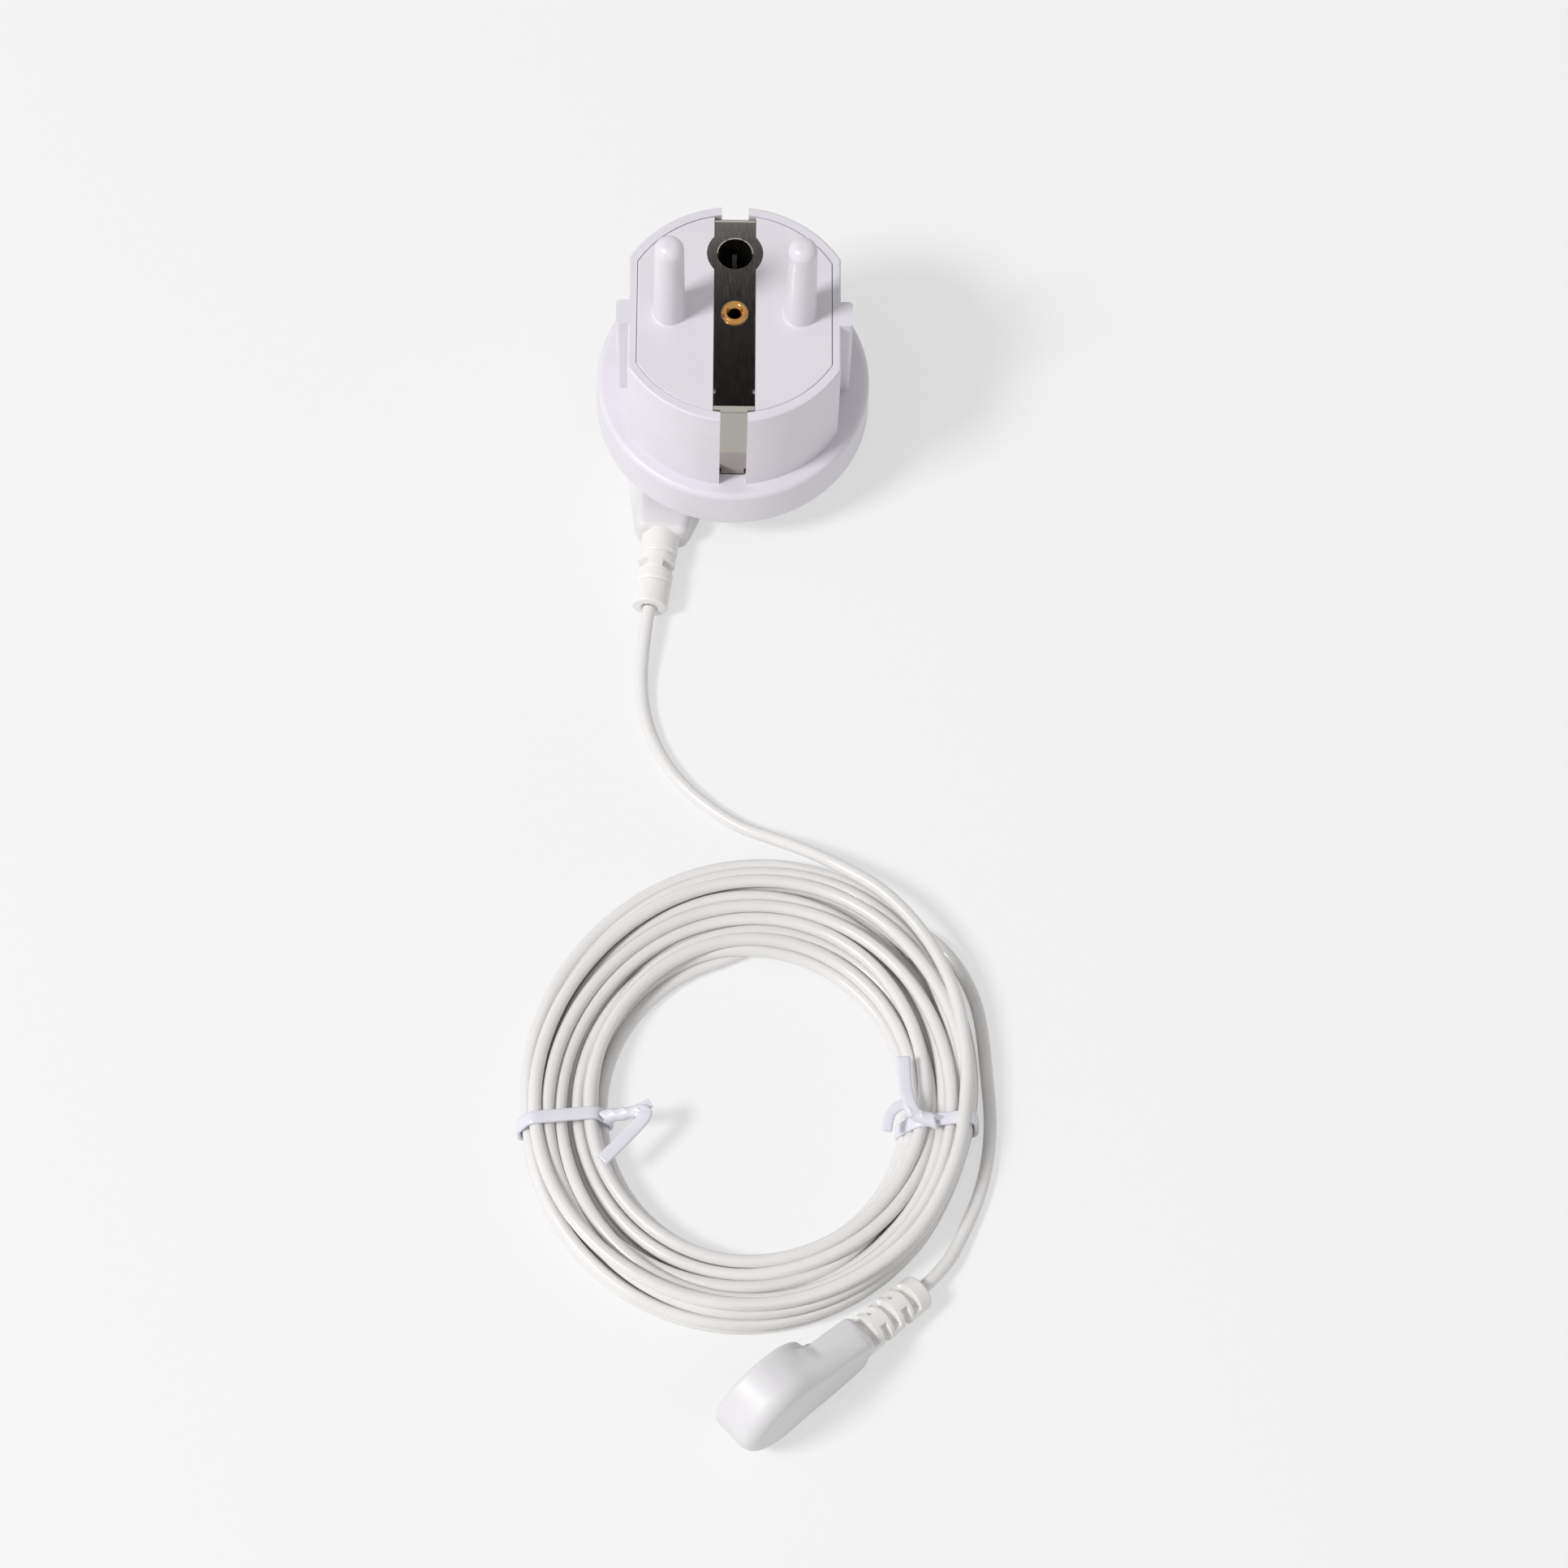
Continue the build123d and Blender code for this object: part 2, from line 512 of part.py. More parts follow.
# The bent strip: flat run with the earth ring, two bends and two legs that end in narrow tongues.
foot = FLANGE_THICKNESS + STRIP_GAP
with BuildPart() as earth_strip:
    with BuildSketch(Plane.YZ):
        with Locations((0, (STRIP_TOP + foot) / 2)):
            outer = Rectangle(LEG_SPAN, STRIP_TOP - foot)
        fillet(outer.vertices().group_by(Axis.Y)[-1], BEND_ROUND)
    extrude(amount=STRIP_WIDTH / 2, both=True)
    with BuildSketch(Plane.YZ):
        with Locations((0, (STRIP_UNDER + foot) / 2)):
            inner = Rectangle(2 * LEG_INNER, STRIP_UNDER - foot)
        fillet(inner.vertices().group_by(Axis.Y)[-1], BEND_ROUND - STRIP_THICKNESS)
    extrude(amount=STRIP_WIDTH / 2, both=True, mode=Mode.SUBTRACT)
    with BuildSketch(Plane.XY.offset(STRIP_UNDER)):
        with Locations((0, EARTH_HOLE_OFFSET)):
            Circle(RING_RADIUS)
    extrude(amount=STRIP_THICKNESS)
    with BuildSketch(Plane.XY.offset(STRIP_UNDER)):
        with Locations((0, EARTH_HOLE_OFFSET)):
            Circle(EARTH_HOLE_RADIUS)
        Circle(EYELET_BARREL_RADIUS + RIVET_GAP)
        for side in (-1, 1):
            with Locations((side * STRIP_WIDTH / 2, -NICK_OFFSET)):
                Rectangle(2 * NICK_DEPTH, NICK_LENGTH)
    extrude(amount=STRIP_THICKNESS, mode=Mode.SUBTRACT)
    hole_rim = earth_strip.edges().filter_by(GeomType.CIRCLE).filter_by(
        lambda edge: abs(edge.radius - EARTH_HOLE_RADIUS) < 0.01 and abs(edge.center().Z - STRIP_TOP) < 0.01
    )
    chamfer(hole_rim, HOLE_BREAK)
    # Shoulders cut beside each tongue, and the tongue that stands in the flange
    shoulder = (STRIP_WIDTH - TONGUE_WIDTH) / 2
    with BuildSketch(Plane.XY.offset(foot)):
        for side in (-1, 1):
            with Locations((side * (STRIP_WIDTH - shoulder) / 2, 0)):
                Rectangle(shoulder, LEG_SPAN)
    extrude(amount=TONGUE_SHOULDER, mode=Mode.SUBTRACT)
    with BuildSketch(Plane.XY.offset(foot)):
        for side in (-1, 1):
            with Locations((0, side * (LEG_OUTER - STRIP_THICKNESS / 2))):
                Rectangle(TONGUE_WIDTH, STRIP_THICKNESS)
    extrude(amount=2 * STRIP_GAP - TONGUE_LENGTH)
earth_strip.part.label = "earth_strip"
export_step(earth_strip.part, "parts/earth_strip.step")

# The slotted sleeve behind the earth hole, hung from a thin seat under the strip's ring.
with BuildPart() as earth_contact:
    with BuildSketch(Plane.XY.offset(STRIP_UNDER)):
        with Locations((0, EARTH_HOLE_OFFSET)):
            Circle(SLEEVE_SEAT_RADIUS)
    extrude(amount=-SLEEVE_SEAT_THICKNESS)
    with BuildSketch(Plane.XY.offset(STRIP_UNDER)):
        with Locations((0, EARTH_HOLE_OFFSET)):
            Circle(SLEEVE_RADIUS)
    extrude(amount=-SLEEVE_LENGTH)
    with BuildSketch(Plane.XY.offset(STRIP_UNDER)):
        with Locations((0, EARTH_HOLE_OFFSET)):
            Circle(EARTH_HOLE_RADIUS)
    extrude(amount=-SLEEVE_LENGTH, mode=Mode.SUBTRACT)
    with BuildSketch(Plane.XY.offset(STRIP_UNDER - SLEEVE_LENGTH)):
        with Locations((0, EARTH_HOLE_OFFSET)):
            Rectangle(2 * SLEEVE_RADIUS + 1, SLEEVE_SLOT)
            Rectangle(SLEEVE_SLOT, 2 * SLEEVE_RADIUS + 1)
    extrude(amount=SLEEVE_SLOT_LENGTH, mode=Mode.SUBTRACT)
earth_contact.part.label = "earth_contact"
export_step(earth_contact.part, "parts/earth_contact.step")

# The brass eyelet: a domed flange over the strip, a barrel and a rolled end under the solder tag.
low = INSERT_UNDER - TAG_THICKNESS - EYELET_ROLL
crest = (EYELET_BARREL_RADIUS + EYELET_RADIUS) / 2
with BuildPart() as eyelet:
    with BuildSketch(Plane.XZ):
        with BuildLine():
            Polyline(
                (EYELET_BORE_RADIUS, low),
                (EYELET_BORE_RADIUS, STRIP_TOP),
                (EYELET_BARREL_RADIUS, STRIP_TOP + EYELET_HEIGHT * 0.8),
                (crest, STRIP_TOP + EYELET_HEIGHT),
                (EYELET_RADIUS, STRIP_TOP + EYELET_HEIGHT * 0.4),
                (EYELET_RADIUS, STRIP_TOP),
                (EYELET_BARREL_RADIUS, STRIP_TOP),
                (EYELET_BARREL_RADIUS, low + EYELET_ROLL),
                (EYELET_RADIUS, low + EYELET_ROLL),
                (EYELET_RADIUS, low + EYELET_ROLL / 2),
                (EYELET_BARREL_RADIUS, low),
                close=True,
            )
        make_face()
    revolve(axis=Axis.Z)
    crown = eyelet.edges().filter_by(lambda edge: edge.center().Z > STRIP_TOP + EYELET_HEIGHT * 0.7)
    fillet(crown, EYELET_HEIGHT * 0.2)
eyelet.part.label = "eyelet"
export_step(eyelet.part, "parts/eyelet.step")

# The washer under the eyelet, with a tongue out to the resistor's upper lead.
with BuildPart() as solder_tag:
    with BuildSketch(Plane.XY.offset(INSERT_UNDER - TAG_THICKNESS)):
        Circle(TAG_RADIUS)
        with Locations((RESISTOR_OFFSET, 0)):
            Circle(TAG_EYE_RADIUS)
        make_hull()
        Circle(EYELET_BARREL_RADIUS + RIVET_GAP, mode=Mode.SUBTRACT)
        with Locations((RESISTOR_OFFSET, 0)):
            Circle(WIRE_RADIUS, mode=Mode.SUBTRACT)
    extrude(amount=TAG_THICKNESS)
solder_tag.part.label = "solder_tag"
export_step(solder_tag.part, "parts/solder_tag.step")

# The safety resistor: a waisted body with two wider end caps, upright between tag and plate.
resistor_low = (INSERT_UNDER + PLATE_TOP - RESISTOR_LENGTH) / 2
resistor_high = resistor_low + RESISTOR_LENGTH
with BuildPart() as resistor_body:
    with BuildSketch(Plane.XY.offset(resistor_low)):
        with Locations((RESISTOR_OFFSET, 0)):
            Circle(RESISTOR_RADIUS - RESISTOR_WAIST)
    extrude(amount=RESISTOR_LENGTH)
    for start in (resistor_low, resistor_high - RESISTOR_CAP_LENGTH):
        with BuildSketch(Plane.XY.offset(start)):
            with Locations((RESISTOR_OFFSET, 0)):
                Circle(RESISTOR_RADIUS)
        extrude(amount=RESISTOR_CAP_LENGTH)
    circles = resistor_body.edges().filter_by(GeomType.CIRCLE)
    fillet(circles.group_by(SortBy.RADIUS)[-1], RESISTOR_EDGE_ROUND)
resistor_body.part.label = "resistor_body"
export_step(resistor_body.part, "parts/resistor_body.step")

keep(make_wire(PLATE_TOP, resistor_low), "resistor_lead_out")
keep(make_wire(resistor_high, INSERT_UNDER), "resistor_lead_in")

# The sheet-metal plate on the back wall that joins the studs' rivets.
with BuildPart() as contact_plate:
    with BuildSketch(Plane.XY.offset(BACK_WALL)):
        with PolarLocations(STUD_CIRCLE_RADIUS, STUD_COUNT, STUD_FIRST_ANGLE):
            Circle(PLATE_CORNER_RADIUS)
        make_hull()
        with PolarLocations(STUD_CIRCLE_RADIUS, STUD_COUNT, STUD_FIRST_ANGLE):
            Circle(RIVET_RADIUS + RIVET_GAP, mode=Mode.SUBTRACT)
    extrude(amount=PLATE_THICKNESS)
contact_plate.part.label = "contact_plate"
export_step(contact_plate.part, "parts/contact_plate.step")

for number in range(STUD_COUNT):
    keep(make_stud(stud_place(number)), f"snap_stud_{number + 1}")
    keep(make_rivet(stud_place(number)), f"stud_rivet_{number + 1}")

# The overmoulded head: a round puck and a tapered neck that share one flat outer face, hollow for the socket
# and the relief's stub.
with BuildPart() as head_shell:
    with BuildSketch():
        Circle(HEAD_RADIUS)
    extrude(amount=-HEAD_THICKNESS)
    fillet(head_shell.edges().group_by(Axis.Z)[0], HEAD_OUTER_ROUND)
    fillet(head_shell.edges().group_by(Axis.Z)[-1], HEAD_MOUTH_ROUND)
    with BuildSketch(neck_section(0)):
        RectangleRounded(NECK_ROOT_WIDTH, NECK_THICKNESS, NECK_EDGE_ROUND)
    with BuildSketch(neck_section(NECK_END)):
        RectangleRounded(NECK_END_WIDTH, NECK_THICKNESS, NECK_EDGE_ROUND)
    loft()
    fillet(head_shell.faces().sort_by(Axis.X)[-1].edges(), NECK_END_ROUND)
    with BuildSketch():
        Circle(CUP_RADIUS)
    extrude(amount=-CUP_DEPTH - CUP_FLOOR, mode=Mode.SUBTRACT)
    with BuildSketch():
        Circle(CUP_RIM_RADIUS)
    extrude(amount=-CUP_RIM_THICKNESS, mode=Mode.SUBTRACT)
    with BuildSketch(neck_section(NECK_END)):
        Circle(RELIEF_STUB_RADIUS)
    extrude(amount=-RELIEF_STUB_LENGTH, mode=Mode.SUBTRACT)

# The female snap cup with its rim and the groove for the spring ring.
with BuildPart() as head_socket:
    with BuildSketch():
        Circle(CUP_RADIUS)
    extrude(amount=-CUP_DEPTH - CUP_FLOOR)
    with BuildSketch():
        Circle(CUP_RIM_RADIUS)
    extrude(amount=-CUP_RIM_THICKNESS)
    with BuildSketch():
        Circle(CUP_BORE_RADIUS)
    extrude(amount=-CUP_DEPTH, mode=Mode.SUBTRACT)
    groove = SPRING_WIRE_RADIUS + SPRING_GROOVE_GAP
    with BuildSketch(Plane.XY.offset(-SPRING_DEPTH - groove)):
        Circle(SPRING_RADIUS + groove)
    extrude(amount=2 * groove, mode=Mode.SUBTRACT)
    fillet(head_socket.edges().group_by(Axis.Z)[-1].sort_by(SortBy.RADIUS)[0], CUP_RIM_THICKNESS / 2)

# The open wire ring that grips the stud's neck.
with BuildPart() as head_spring:
    with BuildLine(Plane.XY.offset(-SPRING_DEPTH)) as wire_path:
        CenterArc((0, 0), SPRING_RADIUS, (360 - SPRING_SPAN) / 2, SPRING_SPAN)
    with BuildSketch(wire_path.line ^ 0):
        Circle(SPRING_WIRE_RADIUS)
    sweep()

head_pieces = {
    "shell": head_shell.part,
    "socket": head_socket.part,
    "spring": head_spring.part,
}
heads = [
    ("plug_head", plug_head_plane(), PLUG_RELIEF_WINDOWS),
    ("mat_head", mat_head_plane(), MAT_RELIEF_WINDOWS),
]
for head_name, plane, windows in heads:
    keep(make_relief(windows).moved(plane.location), f"{head_name}_relief")
    for piece_name, piece in head_pieces.items():
        keep(piece.moved(plane.location), f"{head_name}_{piece_name}")

# The lead's route: out of the first connector, down to the table, round to the right and up into the coil
cord_z = TABLE_Z + CORD_RADIUS
plug_exit, plug_way = relief_end(plug_head_plane())
lead_route = [
    tuple(plug_exit),
    tuple(plug_exit + plug_way * 5.5),
    (-13.3, -44.4, cord_z + 0.3),
    (-11.7, -51.9, cord_z),
    (-7.3, -59.4, cord_z),
    (0.3, -65.4, cord_z + 0.2),
    (7.3, -69.0, cord_z + 1.8),
    (13.4, -72.8, cord_z + 4.2),
]
keep(cord_tube(lead_route, "cord_lead"), "cord_lead")

# The wound coil as one closed ring of its outer shape.
with BuildPart() as cord_coil:
    with BuildSketch(Plane.XY.offset(COIL_BASE)):
        with Locations(COIL_CENTRE):
            Ellipse(*COIL_SEMI_AXES, rotation=COIL_TURN)
        with Locations(COIL_HOLE_CENTRE):
            Ellipse(*COIL_HOLE_SEMI_AXES, rotation=COIL_HOLE_TURN, mode=Mode.SUBTRACT)
    extrude(amount=COIL_HEIGHT)
    fillet(cord_coil.edges(), COIL_ROUND)
cord_coil.part.label = "cord_coil"
export_step(cord_coil.part, "parts/cord_coil.step")

# The loose last turn: out of the coil on its right and round to the second connector
mat_exit, mat_way = relief_end(mat_head_plane())
tail_route = [
    (30.4, -85.4, cord_z + 1.6),
    (34.0, -92.0, cord_z + 0.4),
    (37.0, -100.6, cord_z),
    (38.0, -110.0, cord_z),
    (37.3, -119.5, cord_z),
    (34.9, -127.3, cord_z + 0.1),
    tuple(mat_exit + mat_way * 5.0),
    tuple(mat_exit),
]
keep(cord_tube(tail_route, "cord_tail"), "cord_tail")
keep(make_tie(-1, LEFT_TIE_TAILS), "left_tie")
keep(make_tie(1, RIGHT_TIE_TAILS), "right_tie")

print(len(kept_pieces), "pieces, total volume", round(sum(piece.volume for piece in kept_pieces)), "cubic mm")
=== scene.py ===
import json
import math

import bmesh
import bpy
import numpy as np
from mathutils import Matrix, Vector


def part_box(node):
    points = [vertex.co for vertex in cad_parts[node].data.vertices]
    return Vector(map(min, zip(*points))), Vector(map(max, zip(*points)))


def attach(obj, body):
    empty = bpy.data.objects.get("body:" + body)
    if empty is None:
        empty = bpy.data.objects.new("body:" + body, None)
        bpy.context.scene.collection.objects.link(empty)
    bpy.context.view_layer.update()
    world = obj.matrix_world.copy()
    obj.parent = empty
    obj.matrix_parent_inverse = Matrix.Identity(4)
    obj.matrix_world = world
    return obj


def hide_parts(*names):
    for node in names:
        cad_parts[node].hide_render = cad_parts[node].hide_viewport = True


MM = 0.001
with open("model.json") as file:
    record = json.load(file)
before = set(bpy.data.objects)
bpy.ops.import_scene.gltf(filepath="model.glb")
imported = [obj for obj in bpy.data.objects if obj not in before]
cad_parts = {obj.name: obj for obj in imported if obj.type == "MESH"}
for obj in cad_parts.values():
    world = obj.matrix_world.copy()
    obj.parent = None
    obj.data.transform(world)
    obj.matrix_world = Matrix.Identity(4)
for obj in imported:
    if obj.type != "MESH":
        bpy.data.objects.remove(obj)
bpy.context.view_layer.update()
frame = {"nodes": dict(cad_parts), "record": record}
nodes = frame["nodes"]

# The table that everything lies on, and the lead's thickness, in millimetres.
TABLE = -7.4
CORD = 1.9

# The photograph's view, fitted to the pins, the flange and the coil: degrees and millimetres
PITCH, YAW, ROLL = 64.916, -2.3534, 2.7521
AIM, DISTANCE = (7.302, -74.967, 27.2), 717.746
LENS, FILM = 119.25, 36


# Camera: it looks down at the plug and along the lead.
def photograph_camera():
    """The view direction is +Y tipped down by the pitch and turned about Z by the yaw, and the camera rolls
    about it."""
    pitch, yaw, roll = math.radians(PITCH), math.radians(YAW), math.radians(ROLL)
    turn = np.array([[math.cos(yaw), -math.sin(yaw), 0], [math.sin(yaw), math.cos(yaw), 0], [0, 0, 1]])
    forward = turn @ [0, math.cos(pitch), -math.sin(pitch)]
    level_up = turn @ [0, math.sin(pitch), math.cos(pitch)]
    level_right = turn @ [1, 0, 0]
    place = np.eye(4)
    place[:3, 0] = math.cos(roll) * level_right + math.sin(roll) * level_up
    place[:3, 1] = math.cos(roll) * level_up - math.sin(roll) * level_right
    place[:3, 2] = -forward
    place[:3, 3] = (np.array(AIM) - forward * DISTANCE) * MM
    camera = bpy.data.objects.new("camera", bpy.data.cameras.new("camera"))
    camera.data.lens = LENS
    camera.data.sensor_fit = "HORIZONTAL"
    camera.data.sensor_width = FILM
    camera.data.clip_end = 20
    camera.matrix_world = Matrix(place.tolist())
    bpy.context.scene.collection.objects.link(camera)
    bpy.context.scene.camera = camera


photograph_camera()


# Materials
def paint(colour):
    """An sRGB hex colour as linear red, green, blue and alpha."""
    channels = [int(colour[i : i + 2], 16) / 255 for i in (1, 3, 5)]
    return [c / 12.92 if c <= 0.04045 else ((c + 0.055) / 1.055) ** 2.4 for c in channels] + [1]


def node(material, kind, links=(), **settings):
    """Adds one node, sets what it is told, and fills its sockets with values or other nodes' sockets."""
    made = material.node_tree.nodes.new(kind)
    for name, value in settings.items():
        setattr(made, name, value)
    for socket, value in dict(links).items():
        if isinstance(value, bpy.types.NodeSocket):
            material.node_tree.links.new(value, made.inputs[socket])
        else:
            made.inputs[socket].default_value = value
    return made


def surface(name):
    """A new node material and its Principled shader."""
    material = bpy.data.materials.new(name)
    material.use_nodes = True
    return material, material.node_tree.nodes["Principled BSDF"]


def wire(material, socket, target):
    """Joins one socket to another."""
    material.node_tree.links.new(socket, target)


def spread(material, socket, low, high, start=0.3, end=0.7):
    """A value that goes from low to high while the socket goes from start to end."""
    limits = {"Value": socket, "From Min": start, "From Max": end, "To Min": low, "To Max": high}
    return node(material, "ShaderNodeMapRange", limits).outputs["Result"]


def relief_of(material, socket, height_mm):
    """The normal of a surface that the socket's pattern raises by up to the height."""
    raised = {"Height": socket, "Distance": height_mm * MM, "Strength": 1.0}
    return node(material, "ShaderNodeBump", raised).outputs["Normal"]


def moulded(name, light, dark, roughness, grain_mm, grain_height_mm, ior=1.5, mottle_mm=6.0, coat=0.0):
    """Moulded plastic: a fine eroded grain, a slow mottle of colour where the melt flowed, and uneven
    gloss."""
    material, shader = surface(name)
    place = node(material, "ShaderNodeTexCoord").outputs["Object"]
    slow = {"Vector": place, "Scale": 1 / (mottle_mm * MM), "Detail": 3}
    mottle = node(material, "ShaderNodeTexNoise", slow).outputs["Fac"]
    colour = node(material, "ShaderNodeValToRGB", {"Fac": mottle})
    for stop, position, tone in zip(colour.color_ramp.elements, (0.35, 0.65), (dark, light)):
        stop.position, stop.color = position, paint(tone)
    fine = {"Vector": place, "Scale": 1 / (grain_mm * MM), "Detail": 2}
    grain = node(material, "ShaderNodeTexNoise", fine).outputs["Fac"]
    wire(material, colour.outputs["Color"], shader.inputs["Base Color"])
    wire(material, spread(material, mottle, roughness - 0.04, roughness + 0.04), shader.inputs["Roughness"])
    wire(material, relief_of(material, grain, grain_height_mm), shader.inputs["Normal"])
    shader.inputs["IOR"].default_value = ior
    shader.inputs["Coat Weight"].default_value = coat
    return material


def plated(name, colour, dull, roughness, scratch_mm, stretch, speck_mm=0.25, scratch_depth_mm=0.002):
    """Rolled and plated metal: hairlines along the strip, and small dull specks in the plating."""
    material, shader = surface(name)
    place = node(material, "ShaderNodeTexCoord").outputs["Object"]
    drawn = node(material, "ShaderNodeMapping", {"Vector": place, "Scale": stretch}).outputs["Vector"]
    fine = {"Vector": drawn, "Scale": 1 / (scratch_mm * MM), "Detail": 3}
    hairline = node(material, "ShaderNodeTexNoise", fine).outputs["Fac"]
    scattered = {"Vector": place, "Scale": 1 / (speck_mm * MM), "Randomness": 1.0}
    specks = node(material, "ShaderNodeTexVoronoi", scattered).outputs["Distance"]
    speck = spread(material, specks, 1.0, 0.0, start=0.06, end=0.16)
    tones = {"Factor": speck, "A": paint(colour), "B": paint(dull)}
    tone = node(material, "ShaderNodeMix", tones, data_type="RGBA")
    wire(material, tone.outputs["Result"], shader.inputs["Base Color"])
    wire(material, spread(material, hairline, roughness * 0.7, roughness * 1.3), shader.inputs["Roughness"])
    wire(material, relief_of(material, hairline, scratch_depth_mm), shader.inputs["Normal"])
    shader.inputs["Metallic"].default_value = 1.0
    return material


# Polycarbonate housing: white with a cold tint, an eroded mould that leaves it satin.
housing_polycarbonate = moulded("moulded_polycarbonate", "#E3DFE6", "#E0DCE3", 0.42, 0.12, 0.004)
# Insert and pins: the same resin from a smoother mould, a little glossier.
insert_polycarbonate = moulded("insert_polycarbonate", "#E4E0E6", "#E1DDE4", 0.34, 0.16, 0.003)
# Connector shells: soft PVC over the snap, matt and neutral.
shell_pvc = moulded("matt_pvc_shell", "#E2E0E2", "#DEDCDE", 0.44, 0.24, 0.012, 1.53)
# Strain reliefs: glossier, creamier PVC, poured in a second shot.
relief_pvc = moulded("glossy_pvc_relief", "#EFEDEB", "#EAE8E5", 0.3, 0.5, 0.006, 1.53)
# Cord jacket: extruded PVC, glossy, with a slow unevenness along it.
cord_pvc = moulded("extruded_pvc_jacket", "#E8E6E5", "#E4E2E0", 0.15, 0.9, 0.006, 1.53, 9.0, 0.4)
# Twist ties: polyethylene over a wire, waxy and slightly blue.
tie_polyethylene = moulded("waxy_polyethylene_tie", "#E6E5EC", "#E0DFE8", 0.32, 0.5, 0.012, 1.51)
# Earth strip: nickel over rolled steel, bright enough to mirror the room.
strip_nickel = plated("nickel_plated_steel", "#ADA9A3", "#928E87", 0.07, 0.09, (1, 0.04, 0.04))
# Snaps: barrel-plated nickel, softly scratched all ways.
snap_nickel = plated("barrel_plated_nickel", "#D2CEC6", "#AFA99F", 0.2, 0.3, (1, 1, 1))
# Eyelet: bare brass, darkened by handling.
eyelet_brass = plated("darkened_brass", "#B4884F", "#87602F", 0.2, 0.2, (1, 1, 1))
# Sleeve and tag: tinned bronze, its colour darkened to a dull grey as painted shade for the inside of the
# dark hole.
tinned_bronze_painted_shade = plated("tinned_bronze_painted_shade", "#8C8782", "#6E6A66", 0.3, 0.2, (1, 1, 1))
# Spring rings and leads: drawn wire.
drawn_wire = plated("drawn_wire", "#C9C7C3", "#A5A29D", 0.25, 0.2, (1, 1, 0.1))
# Resistor: blue lacquer over ceramic.
resistor_lacquer = moulded("resistor_lacquer", "#7FA9C4", "#739DB8", 0.3, 0.4, 0.006)

finishes = [
    (housing_polycarbonate, ["housing"]),
    (insert_polycarbonate, ["pin_face"]),
    (strip_nickel, ["earth_strip"]),
    # Sleeve and tag take the bronze whose colour is darkened as painted shade for the hole.
    (tinned_bronze_painted_shade, ["earth_contact", "solder_tag"]),
    (eyelet_brass, ["eyelet"]),
    (resistor_lacquer, ["resistor_body"]),
    (drawn_wire, ["resistor_lead_in", "resistor_lead_out", "plug_head_spring", "mat_head_spring"]),
    (snap_nickel, ["contact_plate", "plug_head_socket", "mat_head_socket"]),
    (snap_nickel, ["snap_stud_1", "snap_stud_2", "snap_stud_3"]),
    (snap_nickel, ["stud_rivet_1", "stud_rivet_2", "stud_rivet_3"]),
    (shell_pvc, ["plug_head_shell", "mat_head_shell"]),
    (relief_pvc, ["plug_head_relief", "mat_head_relief"]),
]
for finish, names in finishes:
    for name in names:
        nodes[name].data.materials.clear()
        nodes[name].data.materials.append(finish)


# Shared steps of the computed surfaces
def ease(t):
    """A smooth step from 0 to 1, with level ends: 3t^2 - 2t^3."""
    t = np.clip(t, 0, 1)
    return t * t * (3 - 2 * t)


def evenly(points, count):
    """Points at equal distances along a line through the given ones: their places are looked up in the
    line's length up to each given point."""
    length = np.concatenate([[0], np.cumsum(np.linalg.norm(np.diff(points, axis=0), axis=1))])
    even = np.linspace(0, length[-1], count)
    return np.column_stack([np.interp(even, length, column) for column in points.T])


def ring_faces(numbers, closed=False):
    """Four-sided faces between each ring and the next, and from the last to the first if closed. A ring is a
    row of point numbers."""
    here = numbers if closed else numbers[:-1]
    there = np.roll(numbers, -1, axis=0)[: len(here)]
    corners = [here, np.roll(here, -1, axis=1), np.roll(there, -1, axis=1), there]
    return np.stack(corners, axis=-1).reshape(-1, 4).tolist()


def add_piece(name, mesh, material, replaced):
    """Puts a finished mesh into the scene in place of a node."""
    mesh.materials.append(material)
    made = bpy.data.objects.new(name, mesh)
    bpy.context.scene.collection.objects.link(made)
    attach(made, "root")
    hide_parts(replaced)
    return made


# The lead: one cord from the first connector, up into the coil, round it, out under it and to the second.
# The coil is laid from below, as it was wound from the second connector, one turn after the other.
COIL_CENTRE, COIL_AXES, COIL_TURN = (3.4, -105.2), (32.3, 41.5), math.radians(-8.2)
HOLE_CENTRE, HOLE_AXES, HOLE_TURN = (3.9, -109.9), (20.7, 22.1), math.radians(-7.0)
MEAN_RADIUS = 29
# Steps of a turn, counted from the right towards the plug, and the steps where the coil begins and ends
STEPS = 36
FIRST_STEP, LAST_STEP = 2, 14 * STEPS + 35
# Over the first steps the tail comes in under the other turns, and the last ones are held at this distance
# inside the outer oval, where the free lead joins
TUCKED, HELD, HELD_INSET = 10, 3, 1.1
TAIL_SLOT, TAIL_START = 5.9, 1.5
COIL_LID = 6.8
TIE_Y = -113.3
# Each turn's slot across the bundle, from 0 at the hole to 5 outside, from the lowest turn to the top one
SLOTS = [0, 0.3, 1.4, 2.5, 3.6, 4.8, 4.9, 3.8, 2.8, 1.8, 0.8, 0.6, 1.6, 2.7, 3.8, 4.95]
OUTER_SLOT = 5
# Where on its way round a turn starts to slide to its next slot, and the share of the turn that this takes
SLIDE_START, SLIDE_SHARE = 0.58, 0.3
# The strands' slow drift from slot to slot: size in slots, period in turns and phase of three waves
DRIFT_WAVES = [(0.35, 1.37, 0.4), (0.3, 2.63, 2.0), (0.22, 0.71, 1.1)]
LOOSE_DRIFT, TIED_DRIFT = 2.3, 2.0
# The strap under the bundle lifts it by this much, less and less over this distance
TIE_LIFT, TIE_REACH = 0.95, 9
FLOOR_GAP = 0.05
# What a turn's place costs for each square millimetre from its wish, of bending and above the lid
WISH_COST, BEND_COST, LID_COST = 0.12, 0.6, 15
PLACES = 61
# How often the strands are settled, and by how much they are smoothed, sunk and pushed apart each time
ROUNDS, SMOOTHING, SINKING, PUSHING = 140, 0.3, 0.015, 0.42
